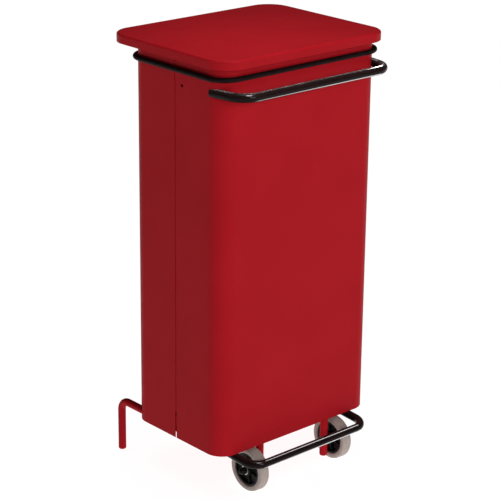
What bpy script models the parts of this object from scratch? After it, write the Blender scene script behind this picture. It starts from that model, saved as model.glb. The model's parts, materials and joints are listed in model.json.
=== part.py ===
"""Pedal bin on two wheels: a folded steel body with a rear-hinged lid, opened by a pedal and a push rod.

Units are metres and +Z is up. The front, with the handle and the pedal, faces -Y. Lengths are measured from
the body's own centre on the floor, and every piece hangs on an empty that shifts that centre, so that the
origin is the middle of the whole bin's footprint.
"""
import math

import bmesh
import bpy
from mathutils import Matrix, Vector

# ---------------------------------------------------------------- driving dimensions
GAP = 0.0003                # clearance between touching pieces
SHEET = 0.0010              # steel sheet of the body and the lid
PLATE = 0.0020              # plate of the hinge and pivot brackets
PAST = 0.010                # how far a cutter runs out past the piece that it cuts
BORE_SIDES = 8              # facets of the hollow inside a tube

BODY_W = 0.356
BODY_D = 0.235
BODY_R = 0.033              # outer radius of the vertical corners
BODY_BOTTOM = 0.084
BODY_TOP = 0.769
SEAM_FLANGE = 0.013         # width of the inward flanges at the side seams
SEAM_BEND = 0.0015
SLIT_HEIGHT = 0.048         # slit at the foot of each seam
SLIT_HALF = 0.0016
SIDE_HOLE = Vector((-0.018, 0.720))     # (y, z) of the small hole in each side
SIDE_HOLE_RADIUS = 0.00275
RIM_TOP = BODY_TOP + 0.001
RIM_DEPTH = 0.020
RIM_LIP = 0.010
RIM_EDGE = 0.0012           # chamfer along the rim's top edge

LID_SIDE = 0.0101           # how far the lid stands out past the body
LID_FRONT = 0.0164
LID_REAR = 0.0518
LID_R = 0.0435
LID_SKIRT_Z = 0.7640
LID_TOP = 0.7795
LID_EDGE_R = 0.0035
LID_UNDER = LID_TOP - SHEET
BUFFER_Y = 0.062            # distance of the lid's rubber buffers from the body's middle
BUFFER_RADIUS = 0.005

BAND_Z = 0.746
BAND_RADIUS = 0.0043

HANDLE_Z = 0.7219
HANDLE_RADIUS = 0.0078
HANDLE_WALL = 0.0015
HANDLE_START = Vector((0.1738, -0.0874))    # middle of the tube where it ends at the body's corner
HANDLE_TOE_IN = math.radians(7.6)
HANDLE_BAR_Y = -0.1550
HANDLE_BEND = 0.036
HANDLE_SCREW_AT = 0.020     # distance of the screw from the tube's end
SCREW_RADIUS = 0.0024
SCREW_HEAD = 0.005

FRAME_X = 0.169
FRAME_Z = 0.098
FRAME_RADIUS = 0.007
FRAME_WALL = 0.0015
FRAME_FRONT_Y = -0.1075
FOOT_Y = 0.165
FOOT_BEND = 0.020
FRAME_BEND = 0.025
FOOT_CAP = 0.003
CAP_EDGE = 0.0018           # chamfer round the cap's lower edge

LEG_X = 0.078
LEG_RADIUS = 0.0072
LEG_WALL = 0.0015
LEG_BOTTOM = 0.0095

WHEEL_RADIUS = 0.040
WHEEL_X = 0.0996
WHEEL_WIDTH = 0.021
HUB_RADIUS = 0.0297
AXLE_RADIUS = 0.004
AXLE_Y = FRAME_FRONT_Y
AXLE_Z = WHEEL_RADIUS
AXLE_HALF = 0.1195
BUSH_RADIUS = 0.0061
BUSH_HALF = 0.0110
WASHER_RADIUS = 0.0082
WASHER_HALF = 0.0006
NUT_RADIUS = 0.0065         # across the nut's flats

FLOOR_Z = FRAME_Z + FRAME_RADIUS + 0.0008   # underside of the floor pan
FLOOR_FLANGE = 0.016
FLOOR_EDGE = 0.0015

HINGE_Y = 0.156
HINGE_Z = 0.757
HINGE_PIN_RADIUS = 0.003
HINGE_BRACKET_X = 0.1015    # inner face of each hinge bracket's ear
HINGE_FLANGE = 0.024
HINGE_BRACKET_Z = (0.700, 0.736)
RIVET_X = HINGE_BRACKET_X + 0.0130
RIVET_Z = {"low": 0.708, "high": 0.728}
RIVET_HOLE = 0.0022
RIVET_SHANK = 0.0018
RIVET_HEAD = 0.0038
LID_EAR_X = 0.0975          # inner face of the lid bracket's ears
LID_EAR_RADIUS = 0.008
STRIP_Y = (0.125, 0.166)
CLIP_HALF = 0.0006

CRANK_RADIUS = 0.0170       # from the lid's hinge pin to the push rod's upper hook
CRANK_ANGLE = math.radians(35)      # how far the hook lies below the hinge pin when the lid is shut
ROD_RADIUS = 0.0035
ROD_Y = HINGE_Y - CRANK_RADIUS * math.cos(CRANK_ANGLE)
ROD_TOP = HINGE_Z - CRANK_RADIUS * math.sin(CRANK_ANGLE)
ROD_BOTTOM = 0.0755
ROD_HOOK = 0.0155           # reach of both hooks to the right of the rod
ROD_BEND = 0.005
LUG_X = 0.0065              # left face of the crank and of the pedal's lug
LUG_THICK = 0.004
LUG_FRONT = 0.0845
LUG_TOP = ROD_BOTTOM + 0.0082
SLOT_HALF = ROD_RADIUS + 0.0009
SLOT_TRAVEL = 0.0036        # how far the hook moves forward in the slot while the lid swings
SLOT_SPARE = 0.0012

PEDAL_X = 0.1351
PEDAL_BAR_Y = -0.1575
PEDAL_BAR_Z = 0.0707
PEDAL_RADIUS = 0.0075
PEDAL_WALL = 0.0015
PEDAL_BEND = 0.0277
PEDAL_ARM_Z = 0.075
PEDAL_KINK_Y = -0.099
PEDAL_END_Y = 0.108
PIVOT_Y = -0.030
SLEEVE_RADIUS = 0.007
SLEEVE_BORE = 0.0043
SLEEVE_HALF = 0.009
PIVOT_Z = PEDAL_ARM_Z + PEDAL_RADIUS + GAP + SLEEVE_RADIUS
CROSS_BAR_TOP = PEDAL_ARM_Z - PEDAL_RADIUS - GAP
CROSS_BAR_THICK = 0.004
CROSS_BAR_Y = (0.080, 0.104)
PIVOT_EAR_X = PEDAL_X + 0.0114      # inner face of each pivot bracket's ear
PIVOT_EAR_HALF = 0.013
SHAFT_END = 0.0045          # how far both pins run out past the brackets that hold them

REAR_MOST = FOOT_Y + FRAME_RADIUS
FRONT_MOST = PEDAL_BAR_Y - PEDAL_RADIUS
ORIGIN_SHIFT = Vector((0, -(REAR_MOST + FRONT_MOST) / 2, 0))

X_AXIS = Vector((1, 0, 0))
Y_AXIS = Vector((0, 1, 0))
Z_AXIS = Vector((0, 0, 1))

# ---------------------------------------------------------------- empty scene
for old in list(bpy.data.objects):
    bpy.data.objects.remove(old)
parts = bpy.data.collections.new("pedal_bin")
cutters = bpy.data.collections.new("pedal_bin_cutters")
for group in (parts, cutters):
    bpy.context.scene.collection.children.link(group)


def material(name, rgb, roughness, metallic):
    made = bpy.data.materials.new(name)
    made.use_nodes = True
    shader = made.node_tree.nodes["Principled BSDF"]
    shader.inputs["Base Color"].default_value = (*rgb, 1)
    shader.inputs["Roughness"].default_value = roughness
    shader.inputs["Metallic"].default_value = metallic
    return made


RED = material("red_enamel", (0.37, 0.011, 0.018), 0.35, 0.0)
BLACK = material("black_enamel", (0.012, 0.011, 0.012), 0.20, 0.0)
ZINC = material("zinc_plated_steel", (0.58, 0.58, 0.56), 0.35, 1.0)
HUB_BLACK = material("black_plastic", (0.012, 0.012, 0.013), 0.50, 0.0)
TYRE_GREY = material("grey_rubber", (0.27, 0.22, 0.20), 0.70, 0.0)
BAND_BLACK = material("black_rubber", (0.015, 0.014, 0.014), 0.65, 0.0)


# ---------------------------------------------------------------- empties on the joint axes
def axis_empty(name, at, parent=None):
    empty = bpy.data.objects.new(name, None)
    parts.objects.link(empty)
    empty.location = at
    empty.parent = parent
    return empty


ORIGIN = axis_empty("body_centre", ORIGIN_SHIFT)
LID_AXIS = axis_empty("lid_axis", (0, HINGE_Y, HINGE_Z), ORIGIN)
ROD_AXIS = axis_empty("rod_axis", (0, ROD_Y - HINGE_Y, ROD_TOP - HINGE_Z), LID_AXIS)
PEDAL_AXIS = axis_empty("pedal_axis", (0, PIVOT_Y, PIVOT_Z), ORIGIN)
WHEEL_AXES = {
    "left": axis_empty("wheel_axis_left", (-WHEEL_X, AXLE_Y, AXLE_Z), ORIGIN),
    "right": axis_empty("wheel_axis_right", (WHEEL_X, AXLE_Y, AXLE_Z), ORIGIN),
}
CHASSIS = ORIGIN
SIDES = {"left": -1, "right": 1}


def hang(obj, empty):
    """Parents obj to an empty while its own numbers stay measured from the body's centre."""
    offset = Vector((0, 0, 0))
    above = empty
    while above is not None and above is not ORIGIN:
        offset += above.location
        above = above.parent
    obj.parent = empty
    obj.matrix_parent_inverse = Matrix.Translation(-offset)
    return obj


# ---------------------------------------------------------------- building blocks
def add(name, data, mat, empty, collection=parts):
    obj = bpy.data.objects.new(name, data)
    collection.objects.link(obj)
    if mat is not None:
        data.materials.append(mat)
    return hang(obj, empty)


def smooth(mesh, angle=35):
    mesh.shade_smooth()
    mesh.set_sharp_from_angle(angle=math.radians(angle))


def mesh_from(bm, name):
    mesh = bpy.data.meshes.new(name)
    bm.to_mesh(mesh)
    bm.free()
    smooth(mesh)
    return mesh


def evaluated_mesh(obj):
    """The finished mesh of a temporary object, whose loose caps are welded; the object is removed."""
    bpy.context.view_layer.update()
    graph = bpy.context.evaluated_depsgraph_get()
    mesh = bpy.data.meshes.new_from_object(obj.evaluated_get(graph))
    bm = bmesh.new()
    bm.from_mesh(mesh)
    bmesh.ops.transform(bm, matrix=obj.matrix_world, verts=bm.verts)
    bmesh.ops.remove_doubles(bm, verts=bm.verts, dist=0.00001)
    bm.to_mesh(mesh)
    bm.free()
    bpy.data.objects.remove(obj)
    mesh.materials.clear()
    smooth(mesh)
    return mesh


def fillet(corners, radii, fine=8):
    """The corner points of a bent line, with each inner corner replaced by an arc."""
    path = [corners[0]]
    for before, corner, after, radius in zip(corners, corners[1:], corners[2:], radii):
        back = (before - corner).normalized()
        ahead = (after - corner).normalized()
        turn = math.pi - back.angle(ahead)
        centre = corner + (back + ahead).normalized() * radius / math.cos(turn / 2)
        start = (corner + back * radius * math.tan(turn / 2) - centre).normalized()
        end = (corner + ahead * radius * math.tan(turn / 2) - centre).normalized()
        steps = max(2, round(fine * turn / (math.pi / 2))) if radius > 0.004 else 3
        for i in range(steps + 1):
            part = i / steps
            spoke = start * math.sin((1 - part) * turn) + end * math.sin(part * turn)
            path.append(centre + spoke * radius / math.sin(turn))
    path.append(corners[-1])
    return path


def curve_object(paths, radius, resolution, cyclic=False):
    curve = bpy.data.curves.new("path", "CURVE")
    curve.dimensions = "3D"
    curve.bevel_depth = radius
    curve.bevel_resolution = resolution
    curve.use_fill_caps = not cyclic
    for path in paths:
        spline = curve.splines.new("POLY")
        spline.points.add(len(path) - 1)
        for point, place in zip(spline.points, path):
            point.co = (*place, 1)
        spline.use_cyclic_u = cyclic
    obj = bpy.data.objects.new("path", curve)
    parts.objects.link(obj)
    return obj


def tube_mesh(path, radius, resolution=3):
    return evaluated_mesh(curve_object([path], radius, resolution))


def longer(path, extra):
    """The path with both ends drawn out, for a bore that runs clear through its tube."""
    first = path[0] + (path[0] - path[1]).normalized() * extra
    last = path[-1] + (path[-1] - path[-2]).normalized() * extra
    return [first, *path[1:-1], last]


def boolean(target, other, operation="DIFFERENCE"):
    modifier = target.modifiers.new(other.name, "BOOLEAN")
    modifier.operation = operation
    modifier.solver = "EXACT"
    modifier.object = other
    return target


def cutter(name, mesh, empty):
    obj = add(name, mesh, None, empty, cutters)
    obj.display_type = "WIRE"
    obj.hide_render = True
    return obj


def add_rod(bm, start, end, radius, sides=16):
    """A closed cylinder between two points, added to a bmesh."""
    along = Vector(end) - Vector(start)
    turn = Z_AXIS.rotation_difference(along).to_matrix().to_4x4()
    place = Matrix.Translation((Vector(start) + Vector(end)) / 2) @ turn
    bmesh.ops.create_cone(bm, cap_ends=True, segments=sides, radius1=radius, radius2=radius,
                          depth=along.length, matrix=place)


def add_box(bm, low, high):
    low, high = Vector(low), Vector(high)
    size = Matrix.Diagonal((*(high - low), 1))
    bmesh.ops.create_cube(bm, size=1, matrix=Matrix.Translation((low + high) / 2) @ size)


def solids_mesh(name, rods=(), boxes=(), sides=16):
    bm = bmesh.new()
    for start, end, radius in rods:
        add_rod(bm, start, end, radius, sides)
    for low, high in boxes:
        add_box(bm, low, high)
    return mesh_from(bm, name)


def cut(target, empty, rods=(), boxes=()):
    name = target.name + "_cut_" + str(len(target.modifiers))
    return boolean(target, cutter(name, solids_mesh(name, rods, boxes), empty))


def hollow_tube(name, path, radius, wall, mat, empty):
    obj = add(name, tube_mesh(path, radius), mat, empty)
    bore = tube_mesh(longer(path, 0.001), radius - wall, BORE_SIDES // 2 - 2)
    return boolean(obj, cutter(name + "_bore", bore, empty))


def loop(inset, z, width=BODY_W, front=-BODY_D / 2, rear=BODY_D / 2, radius=BODY_R):
    """A rounded rectangle seen from above, anticlockwise, drawn in from the given outline by inset."""
    x, y0, y1, r = width / 2 - inset, front + inset, rear - inset, max(radius - inset, 0.0008)
    corners = [Vector(c) for c in ((0, y0, z), (x, y0, z), (x, y1, z), (-x, y1, z), (-x, y0, z), (0, y0, z))]
    return fillet(corners, [r] * 4)[:-1]


def sheet(name, loops, thickness, mat, empty, cyclic=True, fill=False, flip=False):
    """An open skin through rows of points, thickened away from its outer side."""
    bm = bmesh.new()
    rows = [[bm.verts.new(place) for place in row] for row in loops]
    count = len(rows[0])
    for low, high in zip(rows, rows[1:]):
        for i in range(count if cyclic else count - 1):
            j = (i + 1) % count
            bm.faces.new((low[i], low[j], high[j], high[i]))
    if fill:
        bm.faces.new(rows[-1])
    if flip:
        bmesh.ops.reverse_faces(bm, faces=bm.faces)
    obj = add(name, mesh_from(bm, name), mat, empty)
    solid = obj.modifiers.new("thickness", "SOLIDIFY")
    solid.thickness = thickness
    solid.offset = -1
    solid.use_even_offset = True
    return obj


def plate_mesh(outline, x, thickness, holes=()):
    """A flat plate across X: its outline and round or long holes are (y, z) points."""
    curve = bpy.data.curves.new("outline", "CURVE")
    curve.dimensions = "2D"
    curve.fill_mode = "BOTH"
    curve.extrude = thickness / 2
    for points in (outline, *holes):
        spline = curve.splines.new("POLY")
        spline.points.add(len(points) - 1)
        for point, (y, z) in zip(spline.points, points):
            point.co = (y, z, 0, 1)
        spline.use_cyclic_u = True
    obj = bpy.data.objects.new("outline", curve)
    parts.objects.link(obj)
    # the outline's own x and y become the bin's y and z
    across = Matrix(((0, 0, 1, 0), (1, 0, 0, 0), (0, 1, 0, 0), (0, 0, 0, 1)))
    obj.matrix_world = Matrix.Translation((x + thickness / 2, 0, 0)) @ across
    return evaluated_mesh(obj)


def arc(centre, radius, start, end, steps=8):
    """Points on an arc in the (y, z) plane; the angles are in degrees from +Y towards +Z."""
    turn = [math.radians(start + (end - start) * i / steps) for i in range(steps + 1)]
    return [(centre[0] + radius * math.cos(a), centre[1] + radius * math.sin(a)) for a in turn]


def circle(centre, radius, steps=16):
    return arc(centre, radius, 0, 360, steps)[:-1]


def turned_mesh(profile, steps, closed):
    """A profile of (radius, height) points turned round Z; it runs down its outer side."""
    mesh = bpy.data.meshes.new("profile")
    edges = [(i, i + 1) for i in range(len(profile) - 1)]
    if closed:
        edges.append((len(profile) - 1, 0))
    mesh.from_pydata([(r, 0, h) for r, h in profile], edges, [])
    obj = bpy.data.objects.new("profile", mesh)
    parts.objects.link(obj)
    turn = obj.modifiers.new("turn", "SCREW")
    turn.steps = steps
    turn.render_steps = steps
    turn.use_merge_vertices = True
    turn.merge_threshold = 0.00001
    return evaluated_mesh(obj)


def turned(name, profile, point, direction, mat, empty, steps=16, closed=True):
    """A turned piece whose profile stands on the given point, with its +Z along the given direction."""
    obj = add(name, turned_mesh(profile, steps, closed), mat, empty)
    spin = Z_AXIS.rotation_difference(Vector(direction)).to_matrix().to_4x4()
    obj.matrix_basis = Matrix.Translation(point) @ spin
    return obj


def ring(outer, inner, half):
    """Profile of a plain ring such as a washer or a bush."""
    return [(outer, half), (outer, -half), (inner, -half), (inner, half)]


def rivet(head, shank, grip):
    """Profile of a rivet: a domed head above 0 and a flat tail below the two sheets it holds."""
    return [(0, 0.0014), (head * 0.6, 0.0011), (head, GAP), (shank, GAP), (shank, -grip),
            (head * 0.9, -grip), (head * 0.9, -grip - 0.0010), (0, -grip - 0.0010)]


# ---------------------------------------------------------------- body shells
FLANGE_EDGE = BODY_W / 2 - SEAM_FLANGE


def shell_outline(z):
    """Plan of the front shell from its left seam flange round the front to its right one."""
    side, front = BODY_W / 2, -BODY_D / 2
    corners = [Vector(c) for c in (
        (-FLANGE_EDGE, -GAP, z), (-side, -GAP, z), (-side, front, z),
        (side, front, z), (side, -GAP, z), (FLANGE_EDGE, -GAP, z))]
    return fillet(corners, [SEAM_BEND, BODY_R, BODY_R, SEAM_BEND])


def seam_boxes():
    """Slits at the foot of both seams, and the room that the top rim needs between the flanges."""
    boxes = []
    for side in SIDES.values():
        xs = sorted((side * (FLANGE_EDGE - PAST), side * (BODY_W / 2 + PAST)))
        boxes.append(((xs[0], -SLIT_HALF, BODY_BOTTOM - PAST), (xs[1], SLIT_HALF, BODY_BOTTOM + SLIT_HEIGHT)))
        xs = sorted((side * (FLANGE_EDGE - PAST), side * (BODY_W / 2 - SHEET - 0.0001)))
        boxes.append(((xs[0], -0.004, RIM_TOP - RIM_DEPTH - 0.003), (xs[1], 0.004, BODY_TOP + PAST)))
    return boxes


CORNER = Vector((BODY_W / 2 - BODY_R, -BODY_D / 2 + BODY_R))
HANDLE_HEADING = Vector((-math.sin(HANDLE_TOE_IN), -math.cos(HANDLE_TOE_IN)))
SCREW_POINT = HANDLE_START + HANDLE_HEADING * HANDLE_SCREW_AT
SCREW_WAY = (SCREW_POINT - CORNER).normalized()


def from_corner(side, radial, z=HANDLE_Z):
    """A point on the handle screw's line, radial metres out from the centre of the front corner's arc."""
    place = CORNER + SCREW_WAY * radial
    return Vector((side * place.x, place.y, z))


def rivet_holes(side):
    ends = (BODY_D / 2 - PAST, BODY_D / 2 + PAST)
    return [((side * RIVET_X, ends[0], z), (side * RIVET_X, ends[1], z), RIVET_HOLE) for z in RIVET_Z.values()]


def body_shells():
    for name, turn in (("body_front_shell", 0), ("body_rear_shell", math.pi)):
        spin = Matrix.Rotation(turn, 3, "Z")
        rows = [[spin @ place for place in shell_outline(z)] for z in (BODY_BOTTOM, BODY_TOP)]
        sheet(name, rows, SHEET, RED, CHASSIS, cyclic=False)
    front, rear = (bpy.data.objects[n] for n in ("body_front_shell", "body_rear_shell"))
    cut(front, CHASSIS, boxes=seam_boxes())
    cut(rear, CHASSIS, boxes=seam_boxes())
    front_holes, rear_holes = [], []
    wall = BODY_D / 2
    for side in SIDES.values():
        inner, outer = side * (BODY_W / 2 - PAST), side * (BODY_W / 2 + PAST)
        front_holes.append(((inner, *SIDE_HOLE), (outer, *SIDE_HOLE), SIDE_HOLE_RADIUS))
        front_holes.append((from_corner(side, BODY_R - 0.006), from_corner(side, BODY_R + 0.006),
                            SCREW_RADIUS + 0.0004))
        frame_ends = [(side * FRAME_X, y, FRAME_Z) for y in (wall - 0.05, wall + PAST)]
        rear_holes.append((*frame_ends, FRAME_RADIUS + 0.0008))
        rear_holes += rivet_holes(side)
    cut(front, CHASSIS, rods=front_holes)
    notch_ends = (LUG_X - 0.003, LUG_X + LUG_THICK + 0.003)
    notch = ((notch_ends[0], wall - PAST, BODY_BOTTOM - PAST), (notch_ends[1], wall + PAST, 0.106))
    cut(rear, CHASSIS, rods=rear_holes, boxes=[notch])


def top_rim():
    inset = SHEET + GAP
    rows = [loop(inset, RIM_TOP - RIM_DEPTH), loop(inset, RIM_TOP - RIM_EDGE), loop(inset + RIM_EDGE, RIM_TOP),
            loop(inset + RIM_LIP, RIM_TOP)]
    sheet("top_rim", rows, SHEET, RED, CHASSIS)


def floor_pan():
    inset = SHEET + GAP
    rows = [loop(inset, FLOOR_Z + FLOOR_FLANGE), loop(inset, FLOOR_Z + FLOOR_EDGE),
            loop(inset + FLOOR_EDGE, FLOOR_Z)]
    sheet("floor_pan", rows, SHEET, RED, CHASSIS, fill=True, flip=True)


def sack_band():
    """Elastic ring that holds the sack's turned-over edge against the body."""
    path = loop(-(BAND_RADIUS + GAP), BAND_Z)
    add("sack_band", evaluated_mesh(curve_object([path], BAND_RADIUS, 2, cyclic=True)), BAND_BLACK, CHASSIS)


# ---------------------------------------------------------------- handle
def handle():
    start = Vector((HANDLE_START.x, HANDLE_START.y, HANDLE_Z))
    reach = (HANDLE_START.y - HANDLE_BAR_Y) / math.cos(HANDLE_TOE_IN)
    bend = HANDLE_START + HANDLE_HEADING * reach
    mirror = Vector((-1, 1, 1))
    corner = Vector((bend.x, HANDLE_BAR_Y, HANDLE_Z))
    path = fillet([start * mirror, corner * mirror, corner, start], [HANDLE_BEND] * 2)
    tube = hollow_tube("handle_tube", path, HANDLE_RADIUS, HANDLE_WALL, BLACK, CHASSIS)

    bm = bmesh.new()
    rows = [[bm.verts.new(place) for place in loop(-GAP, z)] for z in (HANDLE_Z - 0.03, HANDLE_Z + 0.03)]
    for i, low in enumerate(rows[0]):
        j = (i + 1) % len(rows[0])
        bm.faces.new((low, rows[0][j], rows[1][j], rows[1][i]))
    bm.faces.new(rows[1])
    bm.faces.new(reversed(rows[0]))
    envelope = cutter("body_envelope", mesh_from(bm, "body_envelope"), CHASSIS)
    boolean(tube, envelope)

    plug_radius = (HANDLE_RADIUS - HANDLE_WALL) * math.cos(math.pi / BORE_SIDES) - GAP
    first = HANDLE_START + HANDLE_HEADING * 0.0005
    last = HANDLE_START + HANDLE_HEADING * 0.030
    # the screw's flat head bears on the inside of the rounded corner by its edges
    seat = math.sqrt((BODY_R - SHEET) ** 2 - SCREW_HEAD ** 2) - GAP - 0.0001
    tip = 0.0392 - seat
    screw = [(0, tip), (SCREW_RADIUS, tip), (SCREW_RADIUS, 0), (SCREW_HEAD, 0), (SCREW_HEAD, -0.0012),
             (0.0035, -0.0026), (0, -0.0030)]
    for hand, side in SIDES.items():
        plug = ((side * first.x, first.y, HANDLE_Z), (side * last.x, last.y, HANDLE_Z), plug_radius)
        name = "handle_insert_" + hand
        insert = add(name, solids_mesh(name, rods=[plug], sides=12), ZINC, CHASSIS)
        boolean(insert, envelope)
        bore = (from_corner(side, BODY_R - 0.003), from_corner(side, 0.0398), SCREW_RADIUS + GAP)
        cut(insert, CHASSIS, rods=[bore])
        turned("handle_screw_" + hand, screw, from_corner(side, seat), (side * SCREW_WAY.x, SCREW_WAY.y, 0),
               ZINC, CHASSIS, steps=12, closed=False)


# ---------------------------------------------------------------- base frame, legs, wheels
def cap(radius):
    """Profile of the plate that closes a tube's foot, rounded at its lower edge."""
    return [(0, FOOT_CAP), (radius, FOOT_CAP), (radius, CAP_EDGE), (radius - CAP_EDGE, 0), (0, 0)]


def base_frame():
    corners = [Vector(c) for c in (
        (-FRAME_X, FOOT_Y, FOOT_CAP + GAP), (-FRAME_X, FOOT_Y, FRAME_Z), (-FRAME_X, FRAME_FRONT_Y, FRAME_Z),
        (FRAME_X, FRAME_FRONT_Y, FRAME_Z), (FRAME_X, FOOT_Y, FRAME_Z), (FRAME_X, FOOT_Y, FOOT_CAP + GAP))]
    path = fillet(corners, [FOOT_BEND, FRAME_BEND, FRAME_BEND, FOOT_BEND], fine=6)
    hollow_tube("base_frame_tube", path, FRAME_RADIUS, FRAME_WALL, RED, CHASSIS)
    for hand, side in SIDES.items():
        turned("foot_cap_" + hand, cap(FRAME_RADIUS), (side * FRAME_X, FOOT_Y, 0), Z_AXIS, RED, CHASSIS,
               closed=False)


def front_legs():
    beam = ((-0.12, FRAME_FRONT_Y, FRAME_Z), (0.12, FRAME_FRONT_Y, FRAME_Z), FRAME_RADIUS + GAP)
    axle = ((-0.12, AXLE_Y, AXLE_Z), (0.12, AXLE_Y, AXLE_Z), AXLE_RADIUS + GAP)
    for hand, side in SIDES.items():
        path = [Vector((side * LEG_X, FRAME_FRONT_Y, z)) for z in (LEG_BOTTOM + FOOT_CAP + GAP, FRAME_Z)]
        leg = hollow_tube("front_leg_" + hand, path, LEG_RADIUS, LEG_WALL, RED, CHASSIS)
        cut(leg, CHASSIS, rods=[beam, axle])
        turned("leg_cap_" + hand, cap(LEG_RADIUS), (side * LEG_X, FRAME_FRONT_Y, LEG_BOTTOM), Z_AXIS, RED,
               CHASSIS, closed=False)


def axle():
    rod = [(0, AXLE_HALF), (AXLE_RADIUS, AXLE_HALF), (AXLE_RADIUS, -AXLE_HALF), (0, -AXLE_HALF)]
    turned("wheel_axle", rod, (0, AXLE_Y, AXLE_Z), X_AXIS, ZINC, CHASSIS, closed=False)
    outside = WHEEL_X + WHEEL_WIDTH / 2 + 0.0016
    inside = (LEG_X + LEG_RADIUS + WHEEL_X - BUSH_HALF) / 2
    washer = ring(WASHER_RADIUS, AXLE_RADIUS + GAP, WASHER_HALF)
    seat = outside + WASHER_HALF + GAP
    # a hexagon's corners lie further out than its flats, both outside and round the bore
    corner = NUT_RADIUS / math.cos(math.pi / 6)
    bore = (AXLE_RADIUS + GAP) / math.cos(math.pi / 6)
    depth = AXLE_HALF + GAP * 2 - seat
    nut = [(0, 0.0121), (0.0030, 0.0112), (0.0055, 0.0085), (corner, 0.0062), (corner, 0), (bore, 0),
           (bore, depth), (0, depth)]
    for hand, side in SIDES.items():
        for place, x in (("outer", outside), ("inner", inside)):
            turned("axle_washer_" + place + "_" + hand, washer, (side * x, AXLE_Y, AXLE_Z), X_AXIS, ZINC,
                   CHASSIS)
        turned("axle_nut_" + hand, nut, (side * seat, AXLE_Y, AXLE_Z), X_AXIS * side, HUB_BLACK, CHASSIS,
               steps=6, closed=False)


def wheels():
    half = WHEEL_WIDTH / 2
    bush = ring(BUSH_RADIUS, AXLE_RADIUS + GAP, BUSH_HALF)
    boss = BUSH_RADIUS + GAP
    hub = [(0.0115, 0.0108), (0.0115, 0.0050), (0.0230, 0.0038), (0.0245, 0.0085), (HUB_RADIUS, 0.0085)]
    hub += [(r, -h) for r, h in reversed(hub)] + [(boss, -0.0108), (boss, 0.0108)]
    seat = HUB_RADIUS + GAP
    tyre = [(seat, half - 0.001), (seat + 0.0035, half), (WHEEL_RADIUS - 0.0040, half - 0.0002),
            (WHEEL_RADIUS - 0.0012, half - 0.0018), (WHEEL_RADIUS, half - 0.0050)]
    tyre += [(r, -h) for r, h in reversed(tyre)]
    for hand, side in SIDES.items():
        middle = (side * WHEEL_X, AXLE_Y, AXLE_Z)
        empty = WHEEL_AXES[hand]
        turned("wheel_bush_" + hand, bush, middle, X_AXIS, ZINC, empty)
        turned("wheel_hub_" + hand, hub, middle, X_AXIS, HUB_BLACK, empty, steps=24)
        turned("wheel_tyre_" + hand, tyre, middle, X_AXIS, TYRE_GREY, empty, steps=32)


# ---------------------------------------------------------------- pedal and its pivot
def pedal():
    corners = [Vector(c) for c in (
        (-PEDAL_X, PEDAL_END_Y, PEDAL_ARM_Z), (-PEDAL_X, PEDAL_KINK_Y, PEDAL_ARM_Z),
        (-PEDAL_X, PEDAL_BAR_Y, PEDAL_BAR_Z), (PEDAL_X, PEDAL_BAR_Y, PEDAL_BAR_Z),
        (PEDAL_X, PEDAL_KINK_Y, PEDAL_ARM_Z), (PEDAL_X, PEDAL_END_Y, PEDAL_ARM_Z))]
    path = fillet(corners, [0.10, PEDAL_BEND, PEDAL_BEND, 0.10], fine=6)
    hollow_tube("pedal_bar", path, PEDAL_RADIUS, PEDAL_WALL, BLACK, PEDAL_AXIS)
    for hand, side in SIDES.items():
        turned("pedal_sleeve_" + hand, ring(SLEEVE_RADIUS, SLEEVE_BORE, SLEEVE_HALF),
               (side * PEDAL_X, PIVOT_Y, PIVOT_Z), X_AXIS, BLACK, PEDAL_AXIS)
    half = PEDAL_X + PEDAL_RADIUS
    bar = ((-half, CROSS_BAR_Y[0], CROSS_BAR_TOP - CROSS_BAR_THICK), (half, CROSS_BAR_Y[1], CROSS_BAR_TOP))
    add("pedal_cross_bar", solids_mesh("pedal_cross_bar", boxes=[bar]), BLACK, PEDAL_AXIS)
    pedal_lug()


def pedal_lug():
    """Upright plate on the cross bar; the push rod's lower hook lies in its long slot."""
    low = CROSS_BAR_TOP + GAP
    nose = Vector((ROD_Y + 0.0095, LUG_TOP - 0.005))
    outline = [(LUG_FRONT, low), (nose.x + 0.005, low), *arc(nose, 0.005, 0, 90, 4),
               (LUG_FRONT + 0.006, LUG_TOP), (LUG_FRONT, LUG_TOP - 0.006)]
    rear = (ROD_Y + SLOT_SPARE, ROD_BOTTOM)
    front = (ROD_Y - SLOT_TRAVEL - SLOT_SPARE, ROD_BOTTOM)
    slot = arc(rear, SLOT_HALF, -90, 90, 6) + arc(front, SLOT_HALF, 90, 270, 6)
    add("pedal_lug", plate_mesh(outline, LUG_X, LUG_THICK, [slot]), BLACK, PEDAL_AXIS)


def pedal_pivot():
    half = PIVOT_EAR_X + PLATE + SHAFT_END
    rod = [(0, half), (AXLE_RADIUS, half), (AXLE_RADIUS, -half), (0, -half)]
    turned("pedal_pivot_shaft", rod, (0, PIVOT_Y, PIVOT_Z), X_AXIS, ZINC, CHASSIS, closed=False)
    top, outer = FLOOR_Z - GAP, PIVOT_EAR_X + PLATE
    clip = ring(0.0075, AXLE_RADIUS + GAP, CLIP_HALF)
    for hand, side in SIDES.items():
        fold = [(PEDAL_X - SLEEVE_HALF, top), (outer, top), (outer, PIVOT_Z - 0.0095)]
        rows = [[Vector((side * x, PIVOT_Y + end * PIVOT_EAR_HALF, z)) for x, z in fold] for end in (-1, 1)]
        bracket = sheet("pivot_bracket_" + hand, rows, PLATE, RED, CHASSIS, cyclic=False, flip=side < 0)
        cut(bracket, CHASSIS, rods=[((side * (outer - PAST), PIVOT_Y, PIVOT_Z),
                                     (side * (outer + PAST), PIVOT_Y, PIVOT_Z), AXLE_RADIUS + GAP)])
        turned("pivot_shaft_clip_" + hand, clip, (side * (outer + 0.0010), PIVOT_Y, PIVOT_Z), X_AXIS, ZINC,
               CHASSIS, steps=12)


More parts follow.
